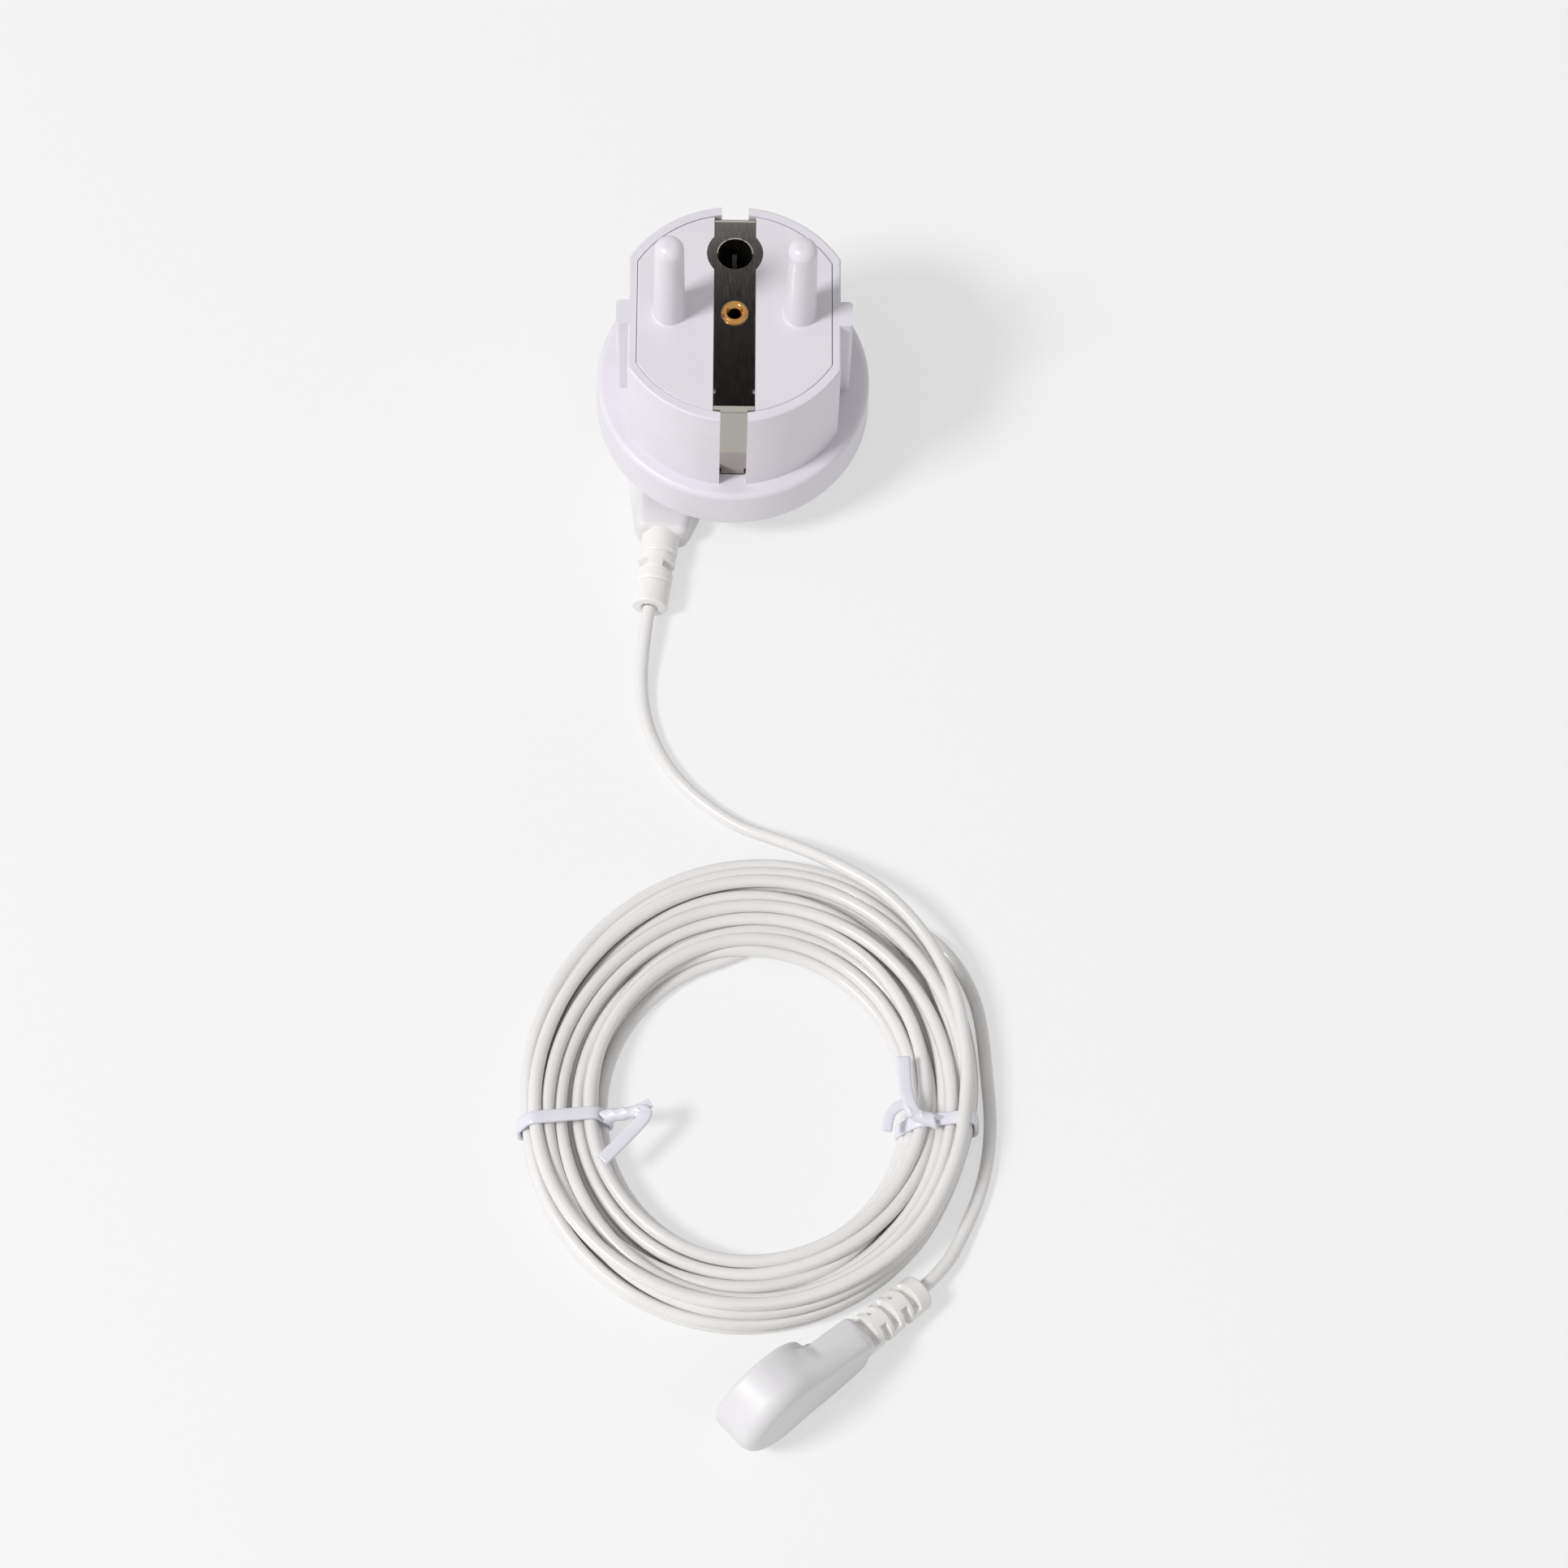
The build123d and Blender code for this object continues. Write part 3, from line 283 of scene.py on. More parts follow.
# A strand counts as this far from itself, so that it doesn't push itself
FAR_FROM_ITSELF = 9


def oval(angle, centre, axes, turn):
    """Points of a turned ellipse: the centre plus both half axes times the angle's cosine and sine."""
    x, y = axes[0] * np.cos(angle), axes[1] * np.sin(angle)
    turned_x = centre[0] + x * math.cos(turn) - y * math.sin(turn)
    turned_y = centre[1] + x * math.sin(turn) + y * math.cos(turn)
    return np.stack([turned_x, turned_y], axis=-1)


def wished_places(step, width, near_tie):
    """Where each step of the cord would like to lie across the bundle: its turn's slot, with a slow drift.
    The tail comes in from outside, under everything. A turn slides to the next slot in one stretch at the
    lower left."""
    turns = (step - FIRST_STEP) / STEPS
    slides = turns - SLIDE_START
    slid = np.floor(slides) + ease((slides - np.floor(slides)) / SLIDE_SHARE)
    slot = np.interp(slid, np.arange(len(SLOTS)), SLOTS)
    tucked = step < FIRST_STEP + TUCKED
    tail = TAIL_SLOT - TAIL_SLOT * ease((step - FIRST_STEP + TAIL_START) / (TUCKED + 1))
    slot = np.where(tucked, tail, slot)
    drift = sum(size * np.sin(2 * math.pi * turns / period + phase) for size, period, phase in DRIFT_WAVES)
    drift *= np.where(tucked, 0, LOOSE_DRIFT - TIED_DRIFT * near_tie)
    return CORD / 2 + (slot + drift) / OUTER_SLOT * (width - CORD)


def lay_turns(width, floor, wish):
    """Lays one turn at a time over the ones below. A turn rests on the floor or in the grooves between older
    strands. Of all its ways round it takes the one with the least sum of height, bending and distance from
    its wish."""
    across, height = wish.copy(), floor.copy()
    grid = np.linspace(0, 1, PLACES)
    for start in range(TUCKED, len(wish), STEPS):
        stop = min(start + STEPS, len(wish))
        places = CORD / 2 + grid * (width[start:stop, None] - CORD)
        rest = np.repeat(floor[start:stop, None], len(grid), axis=1)
        for row in range(stop - start):
            for older in range(start + row - STEPS, -1, -STEPS):
                gap = np.abs(places[row] - across[older])
                over = height[older] + np.sqrt(np.maximum(CORD**2 - gap**2, 0))
                rest[row] = np.where(gap < CORD, np.maximum(rest[row], over), rest[row])
        cost = WISH_COST * (places - wish[start:stop, None]) ** 2 + rest
        cost += LID_COST * np.maximum(rest - COIL_LID + CORD / 2, 0) ** 2
        total = cost[0] + BEND_COST * (places[0] - across[start - 1]) ** 2
        came_from = []
        for row in range(1, stop - start):
            move = total[:, None] + BEND_COST * (places[row - 1][:, None] - places[row][None, :]) ** 2
            came_from.append(np.argmin(move, axis=0))
            total = move.min(axis=0) + cost[row]
        way = [int(np.argmin(total))]
        for origins in reversed(came_from):
            way.append(int(origins[way[-1]]))
        rows = np.arange(stop - start)
        across[start:stop] = places[rows, way[::-1]]
        height[start:stop] = rest[rows, way[::-1]]
    return across, height


def settle(width, floor, across, height):
    """Smooths every strand, sinks it a little and pushes crossing strands apart, until all are at rest."""
    free = (np.arange(len(across)) >= TUCKED) & (np.arange(len(across)) < len(across) - HELD)
    ends = across.copy()
    for _ in range(ROUNDS):
        for line in (across, height):
            line[1:-1] += SMOOTHING * (line[:-2] - 2 * line[1:-1] + line[2:])
        height -= SINKING
        for first in range(STEPS):
            row = np.arange(first, len(across), STEPS)
            aside = across[row][:, None] - across[row][None, :]
            above = height[row][:, None] - height[row][None, :]
            apart = np.hypot(aside, above) + FAR_FROM_ITSELF * np.eye(len(row))
            push = PUSHING * np.clip(CORD - apart, 0, None) / apart
            across[row] += (aside * push).sum(axis=1)
            height[row] += (above * push).sum(axis=1)
        height[:] = np.maximum(height, floor)
        across[:] = np.where(free, np.clip(across, CORD / 2, width - CORD / 2), ends)


def coil_points():
    """The coil's points from the lead's end to the tail, each between the hole's oval and the outer oval.
    The bundle rests on the two ties and sags to the table between them."""
    step = np.arange(FIRST_STEP, LAST_STEP + 1)
    angle = step * 2 * math.pi / STEPS
    inner = oval(angle, HOLE_CENTRE, HOLE_AXES, HOLE_TURN)
    outer = oval(angle, COIL_CENTRE, COIL_AXES, COIL_TURN)
    width = np.linalg.norm(outer - inner, axis=1)
    near_tie = np.exp(-((((inner + outer)[:, 1] / 2 - TIE_Y) / TIE_REACH) ** 2))
    floor = CORD / 2 + FLOOR_GAP + TIE_LIFT * near_tie * (step > FIRST_STEP + TUCKED)
    across, height = lay_turns(width, floor, wished_places(step, width, near_tie))
    across[-HELD:] = (width - HELD_INSET)[-HELD:]
    settle(width, floor, across, height)
    # A quadratic spline runs inside its points by an eighth of their second difference
    inset = MEAN_RADIUS / 8 * (2 * math.pi / STEPS) ** 2
    flat = inner + (outer - inner) * ((across + inset) / width)[:, None]
    return np.column_stack([flat, TABLE + height])[::-1]


# Points in millimetres, listed one by one, the third number above the table: from the first connector to the
# coil, then from the coil to the second connector
lead_in = [
    (-12.0, -31.75, 2.85),
    (-12.75, -37.2, 2.6),
    (-13.2, -44.5, 1.2),
    (-11.6, -52.2, 0.96),
    (-7.2, -59.6, 0.96),
    (0.5, -65.9, 1.1),
    (6.1, -68.6, 2.6),
    (11.0, -71.4, 4.8),
    (16.9, -75.0, 6.3),
    (22.2, -78.5, 6.7),
    (26.6, -83.4, 6.8),
    (29.9, -88.5, 6.7),
    (32.3, -94.3, 6.5),
    (33.4, -100.6, 6.2),
    (33.9, -105.7, 6.0),
]
lead_out = [
    (36.8, -104.4, 0.96),
    (37.4, -112.8, 0.96),
    (36.1, -121.4, 0.96),
    (32.9, -129.1, 1.1),
    (30.4, -133.9, 1.9),
    (26.9, -137.5, 2.79),
]
wound = coil_points()
on_table = np.array([0, 0, TABLE])
cord_route = np.vstack([lead_in + on_table, wound, lead_out + on_table]) * MM


def spline_curve(name, route, radius, material):
    """A round cord whose centre line is one smooth spline with the route's points as its control points."""
    curve = bpy.data.curves.new(name, "CURVE")
    curve.dimensions = "3D"
    curve.bevel_depth = radius
    curve.bevel_resolution = 6
    curve.resolution_u = 5
    curve.use_fill_caps = True
    line = curve.splines.new("NURBS")
    line.points.add(len(route) - 1)
    line.points.foreach_set("co", np.column_stack([route, np.ones(len(route))]).ravel())
    line.order_u = 3
    line.use_endpoint_u = True
    curve.materials.append(material)
    made = bpy.data.objects.new(name, curve)
    bpy.context.scene.collection.objects.link(made)
    return made


cord = spline_curve("lead_cord", cord_route, CORD / 2 * MM, cord_pvc)
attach(cord, "root")
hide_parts("cord_lead", "cord_coil", "cord_tail")


# Twist ties: straps of polyethylene over a wire, drawn round the bundle, twisted and left with flat ends.
STRAP_WIDTH, STRAP_THICKNESS, STRAP_POWER, STRAP_GAP = 1.9, 0.75, 0.6, 0.03
STRAP_SIDES, HOOP_RINGS, TWIST_RINGS, END_RINGS = 14, 140, 60, 40
STRETCH_POINTS, HOOP_DIRECTIONS, HOOP_SMOOTHINGS = 24, 120, 3
TWIST_NARROWING = 0.35
# The height of the bundle's top between the ties, over the table
BUNDLE_TOP = 6.6


def through(points, count):
    """Points spread evenly along a smooth curve through the given ones. Each stretch is the cubic whose end
    slopes are half the step from the point before to the point after."""
    points = np.array(points, float)
    padded = np.vstack([2 * points[0] - points[1], points, 2 * points[-1] - points[-2]])
    t = np.linspace(0, 1, STRETCH_POINTS, endpoint=False)[:, None]
    curve = []
    for a, b, c, d in zip(padded, padded[1:], padded[2:], padded[3:]):
        curve.append(b + 0.5 * t * (c - a + t * (2 * a - 5 * b + 4 * c - d + t * (3 * (b - c) + d - a))))
    return evenly(np.vstack([*curve, points[-1:]]), count)


def strap(path, outward, closed=False, width=STRAP_WIDTH):
    """A flat strap along a path, its broad side facing outward. Each section is a rounded oblong: the cosine
    and sine of the angle round it, raised to the power 0.6, times half the width and half the thickness."""
    ahead, behind = np.roll(path, -1, axis=0), np.roll(path, 1, axis=0)
    if not closed:
        ahead[-1], behind[0] = path[-1], path[0]
    along = ahead - behind
    along /= np.linalg.norm(along, axis=1, keepdims=True)
    side = np.cross(along, outward)
    side /= np.linalg.norm(side, axis=1, keepdims=True)
    facing = np.cross(side, along)
    angle = np.linspace(0, 2 * math.pi, STRAP_SIDES, endpoint=False)
    x = np.sign(np.cos(angle)) * np.abs(np.cos(angle)) ** STRAP_POWER * width / 2
    y = np.sign(np.sin(angle)) * np.abs(np.sin(angle)) ** STRAP_POWER * STRAP_THICKNESS / 2
    verts = path[:, None, :] + side[:, None, :] * x[:, None] + facing[:, None, :] * y[:, None]
    numbers = np.arange(len(path) * STRAP_SIDES).reshape(len(path), STRAP_SIDES)
    faces = ring_faces(numbers, closed)
    if not closed:
        faces += [numbers[0][::-1].tolist(), numbers[-1].tolist()]
    return verts.reshape(-1, 3), faces


def hoop(side):
    """The strap's way round the strands on one side of the coil. In the upright plane through the tie, each
    direction's point is the farthest strand's centre that way plus half the strand's and half the strap's
    thickness."""
    a, b = wound[:-1], wound[1:]
    crossing = (a[:, 1] - TIE_Y) * (b[:, 1] - TIE_Y) <= 0
    crossing &= np.sign(a[:, 0]) == side
    a, b = a[crossing], b[crossing]
    part = (TIE_Y - a[:, 1]) / (b[:, 1] - a[:, 1])
    centres = (a + (b - a) * part[:, None])[:, [0, 2]]
    angle = np.linspace(0, 2 * math.pi, HOOP_DIRECTIONS + 1)[:-1]
    way = np.column_stack([np.cos(angle), np.sin(angle)])
    reach = CORD / 2 + STRAP_THICKNESS / 2 + STRAP_GAP
    flat = centres[np.argmax(way @ centres.T, axis=1)] + reach * way
    flat = evenly(np.vstack([flat, flat[:1]]), HOOP_RINGS + 1)[:-1]
    for _ in range(HOOP_SMOOTHINGS):
        flat = (np.roll(flat, 1, axis=0) + 2 * flat + np.roll(flat, -1, axis=0)) / 4
    return flat


def hoop_strap(side, tilt):
    """The closed hoop of one tie, leaning along the coil by the tilt from its inner to its outer side."""
    flat = hoop(side)
    middle = (flat.max(axis=0) + flat.min(axis=0)) / 2
    path = np.column_stack([flat[:, 0], TIE_Y + tilt * (flat[:, 0] - middle[0]), flat[:, 1]])
    tangent = np.roll(flat, -1, axis=0) - np.roll(flat, 1, axis=0)
    outward = np.column_stack([tangent[:, 1], np.zeros(len(flat)), -tangent[:, 0]])
    return strap(path, outward, closed=True)


def twisted(start, end, turns, radius, phase):
    """Two straps twisted together: helices half a turn apart about the line from start to end, faced
    outward, whose radius shrinks by a third on the way."""
    start, end = on_bundle([start, end])
    axis = (end - start) / np.linalg.norm(end - start)
    across = np.cross(axis, [0, 0, 1])
    across /= np.linalg.norm(across)
    t = np.linspace(0, 1, TWIST_RINGS)[:, None]
    straps = []
    for angle in (phase + 2 * math.pi * turns * t, phase + math.pi + 2 * math.pi * turns * t):
        out = np.cos(angle) * across + np.sin(angle) * np.cross(axis, across)
        straps.append(strap(start + (end - start) * t + radius * (1 - TWIST_NARROWING * t) * out, out))
    return straps


def flat_end(points, width=STRAP_WIDTH):
    """A loose end that lies with its broad side up."""
    path = through(on_bundle(points), END_RINGS)
    return strap(path, np.repeat([(0, 0, 1)], END_RINGS, axis=0), width=width)


def on_bundle(points):
    """Points whose heights are given above the top of the bundle between the ties."""
    return np.array(points, float) + [0, 0, TABLE + BUNDLE_TOP]


def twist_tie(name, straps, replaced):
    """Joins the straps of one tie into one smooth mesh."""
    verts, faces = [], []
    for part_verts, part_faces in straps:
        faces += [[len(verts) + number for number in face] for face in part_faces]
        verts += list(part_verts * MM)
    mesh = bpy.data.meshes.new(name)
    mesh.from_pydata(verts, [], faces)
    mesh.polygons.foreach_set("use_smooth", [len(face) == 4 for face in faces])
    add_piece(name, mesh, tie_polyethylene, replaced)


left_straps = [
    hoop_strap(-1, tilt=0.13),
    *twisted((-17.0, -113.1, -0.9), (-12.3, -112.8, 0.3), turns=1.4, radius=0.6, phase=0.6),
    flat_end([(-12.9, -112.8, 0.6), (-11.4, -113.2, 1.0), (-12.6, -115.2, 0.9), (-17.4, -120.4, 0.8)]),
    flat_end([(-13.0, -112.7, 0.2), (-11.8, -112.2, 0.5), (-10.7, -111.6, 0.5)], width=1.4),
]
right_straps = [
    hoop_strap(1, tilt=0.07),
    *twisted((29.2, -113.9, 0.2), (25.3, -112.6, 0.7), turns=1.2, radius=0.62, phase=2.2),
    flat_end([(26.4, -113.2, 1.0), (25.6, -111.8, 1.1), (25.0, -109.0, 0.7), (24.7, -104.3, 0.4)]),
    flat_end(
        [(26.2, -112.2, 0.8), (24.5, -111.7, 0.9), (22.9, -112.9, 0.7), (22.3, -115.4, 0.3)],
        width=1.5,
    ),
]
twist_tie("left_twist_tie", left_straps, "left_tie")
twist_tie("right_twist_tie", right_straps, "right_tie")


# Connectors: a soft shell round each snap socket, and a strain relief on its neck. Places are in the
# connector's own frame: along the neck, across it and towards the mouth, from the middle of the mouth.
PUCK, SHELL_DEPTH, SOCKET_HOLE, HOLE_FLOOR = 7.7, 7.3, 5.95, -5.35
NECK_TOP, NECK_END, NECK_HALF, NECK_FLARE, NECK_AXIS = -1.6, 15.5, 3.7, 2.1, -4.45
CORNER_ROUND, CORNER_BULGE, CORNER_SWEEP = 1.4, 0.2, math.radians(82)
# The valley between puck and neck is filled by up to this much, from this place on over this length
VALLEY_FILL, VALLEY_START, VALLEY_LENGTH = 3.2, 2.6, 4
# The outer face's edge is rounder at the puck than at the neck's end: both radii, and where they pass over
PUCK_ROUND, END_ROUND, PASS_START, PASS_LENGTH = 2.3, 1.0, 3, 9
# The neck's top edge is rounded only past the puck
TOP_ROUND, TOP_START, TOP_LENGTH = 1.25, 4.2, 2.6
RIM_ROUND, RIM_FOOT, RIM_LEDGE, LEDGE_DEPTH, RIM_SUNK = 0.7, 1.0, 6.4, 0.4, 1.4
# The rim's foot runs round the neck's side up to this angle from it, and fades out over this angle
FOOT_EDGE, FOOT_FADE = math.radians(44), math.radians(16)
RELIEF_LENGTH, RELIEF_ROOT, RELIEF_TIP, RELIEF_ROUND = 11.7, 2.8, 2.65, 0.35
# The length of a groove's soft edge, how far it starts outside the groove, and the place across the relief
# from which a side groove opens, with the length over which it does
GROOVE_EDGE, GROOVE_LEAD, OPENING_START, OPENING_LENGTH = 0.32, 0.1, 1.0, 0.4
# The end's face and a small countersink round the cord: depth from the end, and radius
COUNTERSINK = [(0, 1.35), (0.3, 1.0), (0.6, 0.9)]
# How far the root's first two rings reach into the neck
ROOT_SUNK = [[0.5], [0.25]]
MERGED, SHARP = 0.002, math.radians(35)


def shell_outline(level, count=100):
    """The outline seen from the mouth: the puck's circle, the flank and the rounded corner of the neck's
    end, and the same mirrored. At level 0 the flank is the larger of circle and tapering neck, with the
    corner between them filled in. At level 1 it is the straight line that touches the circle. Between them
    it is their weighted mean."""
    reach, tilt = math.hypot(NECK_END, NECK_HALF), math.atan2(NECK_HALF, NECK_END)
    touch = tilt + math.acos(PUCK / reach)
    turn = np.linspace(math.pi, touch, 60)
    circle = np.column_stack([PUCK * np.cos(turn), PUCK * np.sin(turn)])
    x = np.linspace(circle[-1, 0], NECK_END - CORNER_ROUND, 90)[1:]
    round_part = np.sqrt(np.maximum(PUCK**2 - x**2, 0))
    neck_part = NECK_HALF + NECK_FLARE * (NECK_END - x) / NECK_END
    fill = VALLEY_FILL * ease((x - VALLEY_START) / VALLEY_LENGTH) + 1e-6
    valley = np.maximum(round_part, neck_part)
    valley += np.maximum(fill - np.abs(round_part - neck_part), 0) ** 2 / fill / 4
    straight = NECK_HALF + (circle[-1, 1] - NECK_HALF) * (NECK_END - x) / (NECK_END - circle[-1, 0])
    flank = np.column_stack([x, valley + (straight - valley) * level])
    turn = np.linspace(CORNER_SWEEP, 0, 12)
    corner_x = NECK_END - CORNER_ROUND + CORNER_ROUND * np.cos(turn)
    corner_y = NECK_HALF + CORNER_BULGE - CORNER_ROUND + CORNER_ROUND * np.sin(turn)
    half = np.vstack([circle, flank, np.column_stack([corner_x, corner_y]), [[NECK_END, 0]]])
    half = evenly(half, count)
    return np.vstack([half * [1, -1], half[-2:0:-1]])


def rings_mesh(stacks):
    """Joins each stack of equally long rings with four-sided faces, and closes the ends that ask for it."""
    verts, faces = np.empty((0, 3)), []
    for rings, closed_ends in stacks:
        numbers = len(verts) + np.arange(len(rings) * len(rings[0])).reshape(len(rings), -1)
        faces += ring_faces(numbers) + [numbers[end].tolist() for end in closed_ends]
        verts = np.vstack([verts, *rings])
    return verts, faces


def connector_piece(name, stacks, place, material, replaced):
    """Puts rings worked out in a connector's own frame into the scene. Points that lie on each other are
    merged, so that each stack closes, and edges over 35 degrees stay sharp."""
    origin, along, mouth = (np.array(part) for part in place)
    verts, faces = rings_mesh(stacks)
    placed = origin + verts @ np.array([along, np.cross(mouth, along), mouth])
    mesh = bpy.data.meshes.new(name)
    mesh.from_pydata((placed * MM).tolist(), [], faces)
    joined = bmesh.new()
    joined.from_mesh(mesh)
    bmesh.ops.remove_doubles(joined, verts=joined.verts, dist=MERGED * MM)
    bmesh.ops.recalc_face_normals(joined, faces=joined.faces)
    joined.to_mesh(mesh)
    joined.free()
    mesh.polygons.foreach_set("use_smooth", [True] * len(mesh.polygons))
    mesh.set_sharp_from_angle(angle=SHARP)
    return add_piece(name, mesh, material, replaced)


def shell_stacks():
    """The base is the outline, rounded to the flat outer face and along the neck's top, with the socket's
    round blind hole in its top. The puck's rim is a ring that stands on it and reaches into it, with a
    concave foot over the neck."""

    def ring(level, inset, height):
        outline = shell_outline(level)
        step = np.roll(outline, -1, axis=0) - np.roll(outline, 1, axis=0)
        outward = np.column_stack([step[:, 1], -step[:, 0]]) / np.linalg.norm(step, axis=1, keepdims=True)
        return np.column_stack([outline - outward * inset[:, None], height])

    quarter = np.linspace(0, math.pi / 2, 10)
    passed = ease((shell_outline(1)[:, 0] - PASS_START) / PASS_LENGTH)
    bottom_round = PUCK_ROUND + (END_ROUND - PUCK_ROUND) * passed
    top_round = TOP_ROUND * ease((shell_outline(0)[:, 0] - TOP_START) / TOP_LENGTH)
    low, high = bottom_round - SHELL_DEPTH, NECK_TOP - top_round
    base = [ring(1, bottom_round * (1 - math.sin(a)), low - bottom_round * math.cos(a)) for a in quarter]
    base += [ring(1 - ease(t), 0 * low, low + (high - low) * t) for t in np.linspace(0, 1, 12)[1:-1]]
    base += [ring(0, top_round * (1 - math.cos(a)), high + top_round * math.sin(a)) for a in quarter]
    hole = base[-1] * [1, 1, 0]
    # The base's hole is a hair wider than the rim's, so that their walls don't share one surface
    hole *= (SOCKET_HOLE + 0.02) / np.linalg.norm(hole, axis=1, keepdims=True)
    base += [hole + [0, 0, NECK_TOP], hole + [0, 0, HOLE_FLOOR]]
    turn = np.linspace(0, 2 * math.pi, 120, endpoint=False)
    from_neck = np.abs(np.mod(turn + math.pi, 2 * math.pi) - math.pi)
    foot = RIM_FOOT * ease((FOOT_EDGE - from_neck) / FOOT_FADE)

    def circle(radius, height):
        return np.column_stack([radius * np.cos(turn), radius * np.sin(turn), height + 0 * turn])

    sunk = NECK_TOP - RIM_SUNK
    rim = [circle(PUCK - 0.03, sunk)]
    for a in quarter:
        rim.append(circle(PUCK + foot * (1 - math.sin(a)), NECK_TOP + foot * (1 - math.cos(a)) - 0.001))
    rim += [circle(PUCK - RIM_ROUND * (1 - math.cos(a)), -RIM_ROUND * (1 - math.sin(a))) for a in quarter]
    rim += [circle(RIM_LEDGE, 0), circle(RIM_LEDGE, -LEDGE_DEPTH), circle(SOCKET_HOLE, -LEDGE_DEPTH)]
    rim += [circle(SOCKET_HOLE, sunk), rim[0]]
    return [(base, (0, -1)), (rim, ())]


def relief_stacks(grooves):
    """A tapering rod: its radius falls in a straight line from root to tip and by a quarter circle at the
    end. Each groove takes it down to its floor, between soft edges, all round or only where it opens to the
    top or the sides."""
    x = np.concatenate([[0, 0], np.linspace(0, RELIEF_LENGTH - RELIEF_ROUND, 170)])
    angle = np.linspace(0, 2 * math.pi, 96, endpoint=False)
    x = x[:, None] + 0 * angle
    radius = RELIEF_ROOT + (RELIEF_TIP - RELIEF_ROOT) * x / RELIEF_LENGTH
    upward, sideward = np.abs(np.cos(angle)) * RELIEF_TIP, np.abs(np.sin(angle)) * RELIEF_TIP
    top = ease((upward - OPENING_START) / OPENING_LENGTH)
    sides = ease((sideward - OPENING_START) / OPENING_LENGTH)
    open_to = {"round": 1, "top": top, "sides": sides}
    for start, end, floor, opening in grooves:
        falling = ease((x - start + GROOVE_LEAD) / GROOVE_EDGE)
        rising = ease((end + GROOVE_LEAD - x) / GROOVE_EDGE)
        radius = radius + (floor - radius) * falling * rising * open_to[opening]
    turn = np.linspace(0, math.pi / 2, 6)[1:, None] + 0 * angle
    x = np.vstack([x, RELIEF_LENGTH - RELIEF_ROUND * (1 - np.sin(turn))])
    radius = np.vstack([radius, RELIEF_TIP - RELIEF_ROUND * (1 - np.cos(turn))])
    for depth, across in COUNTERSINK:
        x = np.vstack([x, RELIEF_LENGTH - depth + 0 * angle])
        radius = np.vstack([radius, across + 0 * angle])
    rings = np.stack([NECK_END + x, radius * np.sin(angle), NECK_AXIS + radius * np.cos(angle)], axis=-1)
    rings[:2, :, 0] -= ROOT_SUNK
    return [(list(rings[::-1]), (0, -1))]


# The plug's connector lies on its flat face, with its mouth up, where its socket is.
socket_low, socket_high = (np.array(corner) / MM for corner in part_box("plug_head_socket"))
socket_middle = (socket_low + socket_high) / 2
heading = math.radians(-97.8)
plug_place = (
    (socket_middle[0], socket_middle[1], socket_high[2]),
    (math.cos(heading), math.sin(heading), 0),
    (0, 0, 1),
)
plug_grooves = [
    (2.6, 3.3, 2.38, "round"),
    (4.6, 5.8, 1.6, "sides"),
    (5.9, 6.1, 2.35, "round"),
    (7.5, 8.0, 2.42, "round"),
]

# The far one stands on its puck's edge and on its relief's tip, and the record says where its mouth is.
far_socket = next(mount for mount in frame["record"]["mounts"] if mount["name"] == "far_snap_socket")
mouth_x, mouth_y, mouth_z = far_socket["axis"]
dip = math.asin((PUCK - RELIEF_TIP) / (NECK_END + RELIEF_LENGTH))
mat_place = (
    np.array(far_socket["pos_m"]) / MM,
    (math.cos(dip) * mouth_y, -math.cos(dip) * mouth_x, -math.sin(dip)),
    (mouth_x, mouth_y, mouth_z),
)
mat_grooves = [
    (0.35, 1.4, 1.65, "sides"),
    (2.45, 3.6, 1.65, "top"),
    (4.35, 5.55, 1.65, "sides"),
    (6.45, 7.65, 1.65, "top"),
    (8.3, 9.5, 1.65, "sides"),
]


def add_shell(name, place, replaced):
    """A connector's shell at its place."""
    return connector_piece(name, shell_stacks(), place, shell_pvc, replaced)


def add_relief(name, grooves, place, replaced):
    """A connector's strain relief at the connector's place."""
    return connector_piece(name, relief_stacks(grooves), place, relief_pvc, replaced)


add_shell("plug_connector_shell", plug_place, "plug_head_shell")
add_relief("plug_strain_relief", plug_grooves, plug_place, "plug_head_relief")
mat_shell = add_shell("mat_connector_shell", mat_place, "mat_head_shell")
mat_relief = add_relief("mat_strain_relief", mat_grooves, mat_place, "mat_head_relief")


# Floor and light
PAPER_GLOW, BOUNCED_SHARE = 0.58, 0.47
# The lamp's place, target and size in metres, and its share of full white
KEY_PLACE, KEY_TARGET, KEY_SIZE, KEY_SHARE = (-1.17, -0.61, 1.53), (0.0, -0.06, 0.0), 0.42, 0.49
# The dark card's direction, and the angles from it, in degrees, where it ends and where it is fully dark
CARD_TOWARD, CARD_END, CARD_CORE = (0.02, 0.42, 0.91), 7.6, 6.2


def direct_rays(owner):
    """The Light Path node, and a socket that is 1 for camera, glossy and transmission rays and 0 for bounced
    light."""
    rays = node(owner, "ShaderNodeLightPath")
    direct = rays.outputs["Is Camera Ray"]
    for kind in ("Is Glossy Ray", "Is Transmission Ray"):
        either = {0: direct, 1: rays.outputs[kind]}
        direct = node(owner, "ShaderNodeMath", either, operation="MAXIMUM").outputs["Value"]
    return rays, direct


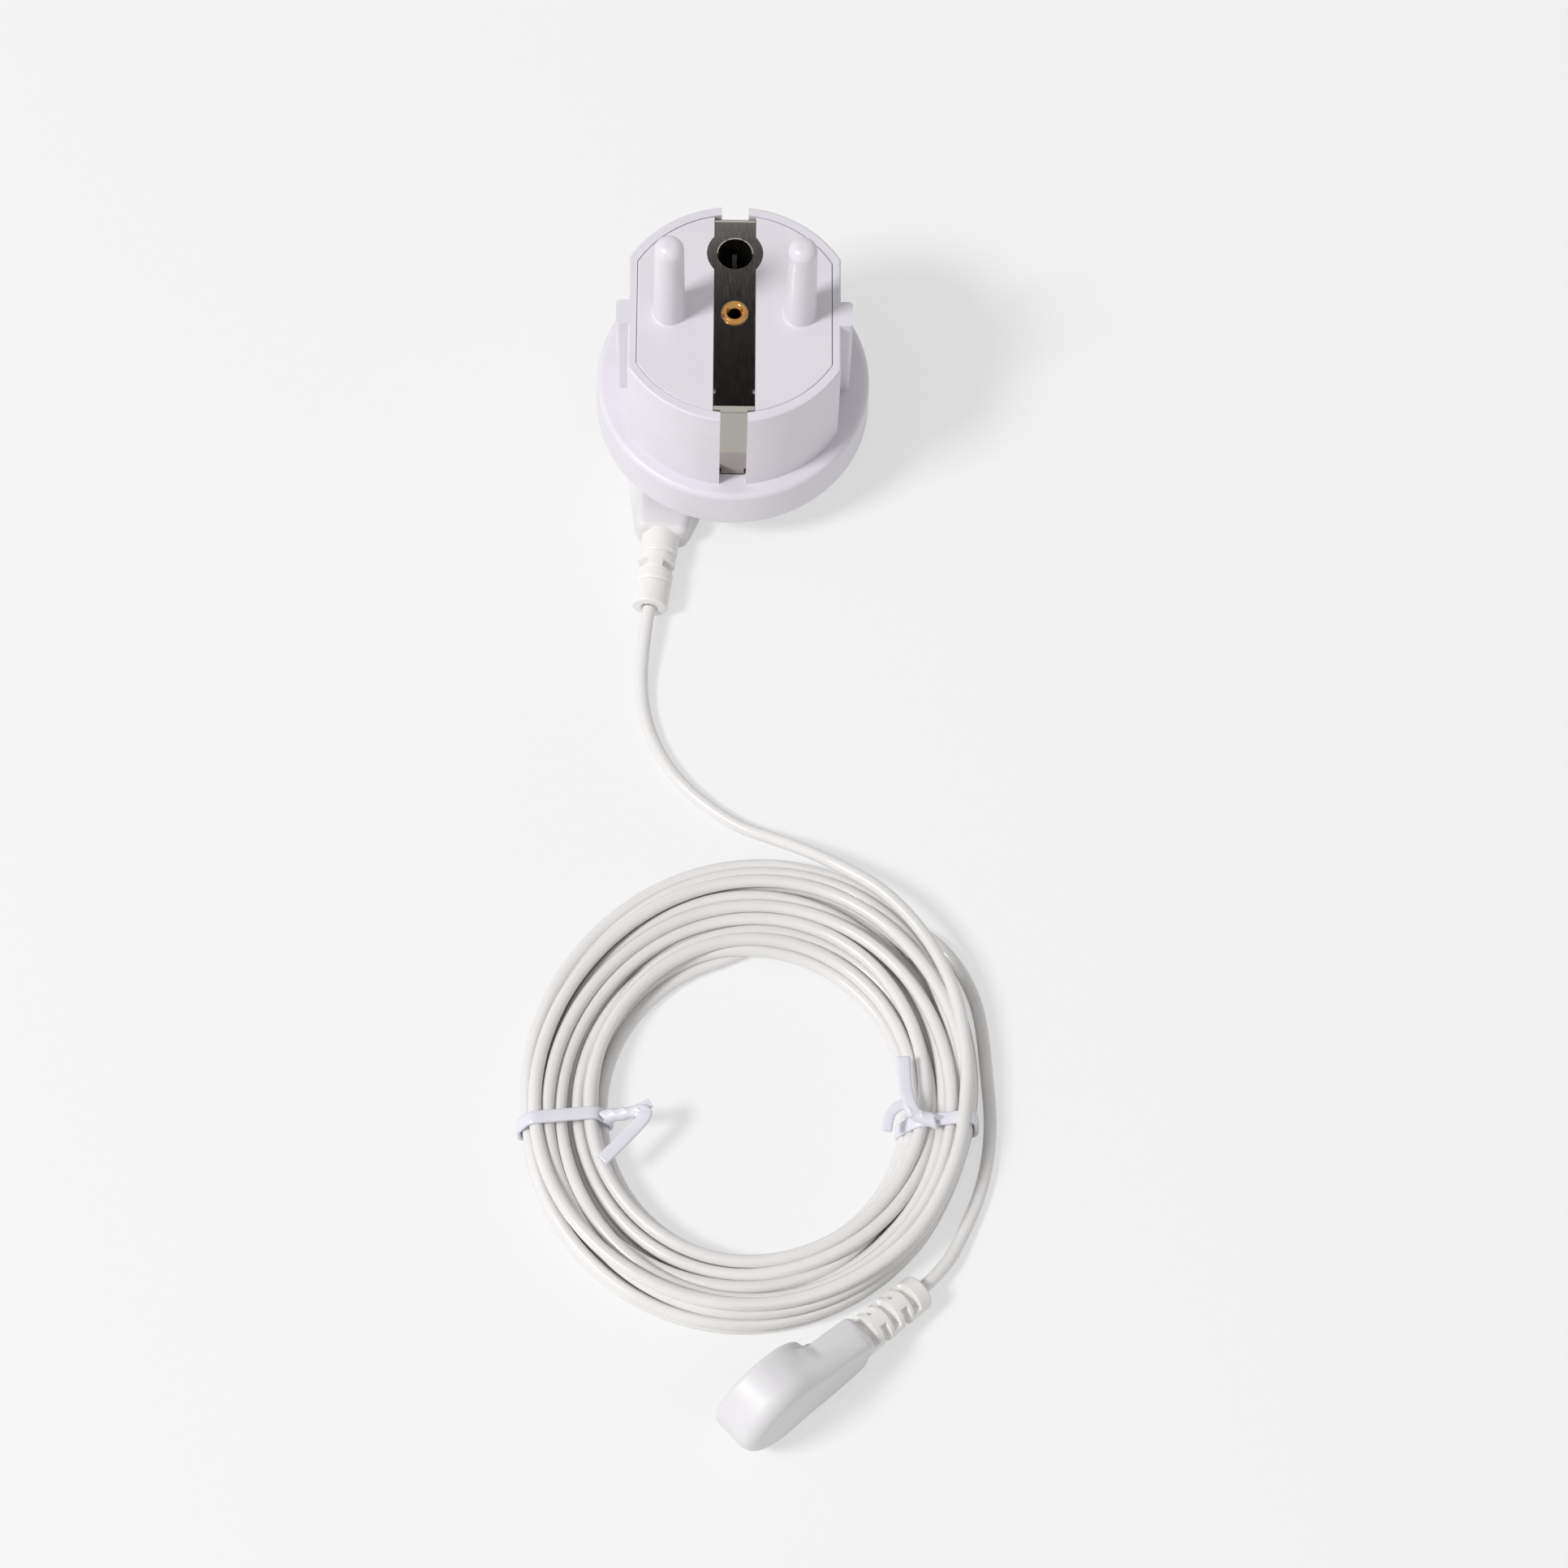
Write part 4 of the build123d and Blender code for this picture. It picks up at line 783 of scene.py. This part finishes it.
def pale_floor(half=6.0, sunk=0.02):
    """A level sheet under the object, wide enough for every view."""
    z = (TABLE - sunk) * MM
    mesh = bpy.data.meshes.new("studio_floor")
    corners = [(-half, -half, z), (half, -half, z), (half, half, z), (-half, half, z)]
    mesh.from_pydata(corners, [], [(0, 1, 2, 3)])
    floor = bpy.data.objects.new("studio_floor", mesh)
    bpy.context.scene.collection.objects.link(floor)
    material, shader = surface("studio_paper")
    shader.inputs["Base Color"].default_value = paint("#F6F6F6")
    shader.inputs["Roughness"].default_value = 0.9
    shader.inputs["Specular IOR Level"].default_value = 0.1
    # To the camera, glass and metal the sheet shows a pale background with the object's shadow over it
    direct = direct_rays(material)[1]
    dimmed = {0: direct, 1: PAPER_GLOW}
    part = node(material, "ShaderNodeMath", dimmed, operation="MULTIPLY").outputs["Value"]
    glow = node(material, "ShaderNodeEmission", {"Color": paint("#F6F6F6"), "Strength": 1.0})
    layers = {0: part, 1: shader.outputs["BSDF"], 2: glow.outputs["Emission"]}
    blend = node(material, "ShaderNodeMixShader", layers).outputs["Shader"]
    wire(material, blend, material.node_tree.nodes["Material Output"].inputs["Surface"])
    mesh.materials.append(material)


def soft_box(name, place, target, size, share):
    """A square lamp that gives a level surface at the target this share of its full white."""
    place, target = np.array(place), np.array(target)
    reach = target - place
    distance = np.linalg.norm(reach)
    lamp = bpy.data.lights.new(name, "AREA")
    lamp.size = size
    lamp.energy = share * math.pi**2 * distance**2 / (-reach[2] / distance)
    made = bpy.data.objects.new(name, lamp)
    back = -reach / distance
    side = np.cross([0, 0, 1], back)
    side /= np.linalg.norm(side)
    pose = np.eye(4)
    pose[:3, :] = np.column_stack([side, np.cross(back, side), back, place])
    made.matrix_world = Matrix(pose.tolist())
    bpy.context.scene.collection.objects.link(made)


def studio_world():
    """White all round, with one dark card overhead that flat metal mirrors. The camera sees plain white, and
    metal sees the same white."""
    world = bpy.data.worlds.new("studio_world")
    bpy.context.scene.world = world
    world.use_nodes = True
    background = world.node_tree.nodes["Background"]
    toward = CARD_TOWARD / np.linalg.norm(CARD_TOWARD)
    directions = {0: node(world, "ShaderNodeTexCoord").outputs["Generated"], 1: tuple(toward)}
    facing = node(world, "ShaderNodeVectorMath", directions, operation="DOT_PRODUCT").outputs["Value"]
    end, core = math.cos(math.radians(CARD_END)), math.cos(math.radians(CARD_CORE))
    card = spread(world, facing, 0.0, 1.0, start=end, end=core)
    rays, direct = direct_rays(world)
    unseen = {0: 1.0, 1: rays.outputs["Is Camera Ray"]}
    hidden = node(world, "ShaderNodeMath", unseen, operation="SUBTRACT").outputs["Value"]
    shown = node(world, "ShaderNodeMath", {0: card, 1: hidden}, operation="MULTIPLY").outputs["Value"]
    tones = {"Factor": shown, "A": (1, 1, 1, 1), "B": (0.01, 0.01, 0.01, 1)}
    tone = node(world, "ShaderNodeMix", tones, data_type="RGBA")
    wire(world, tone.outputs["Result"], background.inputs["Color"])
    wire(world, spread(world, direct, BOUNCED_SHARE, 1.0, start=0, end=1), background.inputs["Strength"])


pale_floor()
soft_box("key_soft_box", KEY_PLACE, KEY_TARGET, KEY_SIZE, KEY_SHARE)
studio_world()

bpy.context.scene.view_settings.view_transform = "Standard"
